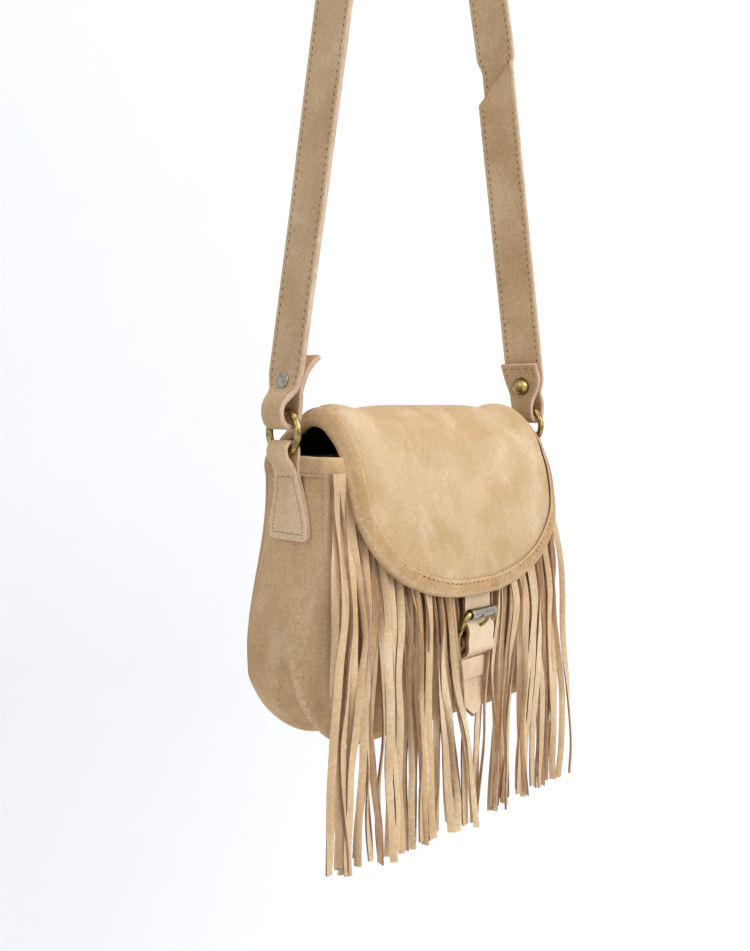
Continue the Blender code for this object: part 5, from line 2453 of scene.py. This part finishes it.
    def build_prong(self) -> None:
        """Builds the prong, from its turn round the heel bar up to the roller."""
        around = self.rod + self.clearance + self.prong
        tip = self.roller + self.out * (self.roller_radius + self.prong + 2 * self.clearance) * 1.06
        keys = []
        for k in range(15):
            angle = math.radians(50 - 230 * k / 14)
            keys.append(self.heel + (self.out * math.cos(angle) + self.up * math.sin(angle)) * around)
        keys.append(keys[-1].lerp(tip, 0.5) - self.out * 0.0002)
        keys.append(tip - self.up * 0.0030)
        keys.append(tip + self.up * 0.0012)
        prong = self.bar("buckle_prong_brass", Route(keys, 3).points, self.prong, False, 16)
        dress(prong, self.finishes.brass)
        enter(prong, "prong", "antique_brass", "buckle_prong")

    def chape(self) -> None:
        """Builds the strip folded over the heel bar, its ends running down the front panel."""
        loop = self.rod + self.clearance + self.chape_ply / 2
        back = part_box("buckle_chape")[1].y - self.chape_ply / 2
        front = back - self.chape_ply - self.clearance
        foot = self.pouch.rim_z - self.chape_fall
        heel = self.heel
        keys = [(back, foot), (back, heel.z - 0.0100), (back - 0.0003, heel.z - 0.0060)]
        for k in range(12):
            angle = math.radians(-35 + 250 * k / 11)
            keys.append((heel.y + loop * math.cos(angle), heel.z + loop * math.sin(angle)))
        keys += [(front, heel.z - 0.0075), (front, heel.z - 0.0100), (front, foot + 0.004)]
        route = Route([(0, y, z) for y, z in keys], 3)
        half = self.width / 2 - self.play
        ribbon = Ribbon(
            "buckle_chape_suede", route, lambda run: half, self.chape_ply, lambda run: ALONG_X
        )
        obj = ribbon.build((14, 90), (self.finishes.panel, self.finishes.fringe_edge))
        enter(obj, "bag", "suede_body", "buckle_chape")

    def keeper(self) -> None:
        """Builds the loop round the strap and the chape, its corners softly rounded."""
        low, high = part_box("keeper_loop")
        wall = self.keeper_wall
        x, near, far = high.x - wall / 2, low.y + wall / 2, high.y - wall / 2
        soft = 0.0022
        inner = 0.3 * soft
        path = [
            (0, near - 0.0006), (0.6 * x, near - 0.0005), (x - soft, near), (x - inner, near + inner),
            (x, near + soft), (x, far - soft), (x - inner, far - inner), (x - soft, far), (0, far),
        ]
        loop = path + [(-px, py) for px, py in reversed(path[1:-1])]
        route = Route([(px, py, 0) for px, py in [*loop, path[0]]])
        top = self.pouch.rim_z - self.keeper_fall

        def place(s: float, t: float) -> Vector:
            """A point of the loop, drawn in a little at its upper and lower edges.

            Args:
                s: Share of the width.
                t: Share of the length.

            Returns:
                The point.
            """
            point = route.at(s * route.length)
            pinch = 0.0004 * (2 * t - 1) ** 2
            shift = Vector((point.x, point.y - (near + far) / 2, 0)).normalized() * -pinch
            return Vector((point.x, point.y, top - self.keeper_height * t)) + shift

        obj = lay_grid("keeper_loop_suede", (120, 12), (route.length, self.keeper_height), place)
        apply_modifier(obj, "WELD", merge_threshold=0.00003)
        dress(obj, self.finishes.closure, self.finishes.raw_edge)
        thicken(obj, wall, 0.0003)
        enter(obj, "bag", "suede_body", "keeper_loop")

    def build(self) -> None:
        """Builds the closure."""
        self.strap()
        self.build_frame()
        self.build_roller()
        self.build_prong()
        self.chape()
        self.keeper()


def main() -> None:
    """Builds the studio and every piece of the bag."""
    logging.basicConfig(level=logging.INFO, format="%(name)s: %(message)s")
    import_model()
    bpy.context.scene.view_settings.view_transform = "Standard"
    Studio().build()
    finishes = Finishes()
    pouch = Pouch(finishes)
    pouch.build()
    flap = Flap(finishes, pouch)
    flap.build()
    Fringe(finishes, pouch).build()
    rings = Rings(finishes, pouch)
    rings.build()
    ShoulderStrap(finishes, rings).build()
    GussetTabs(finishes, pouch, rings).build()
    Closure(finishes, pouch, flap).build()


if __name__ == "__main__":
    main()
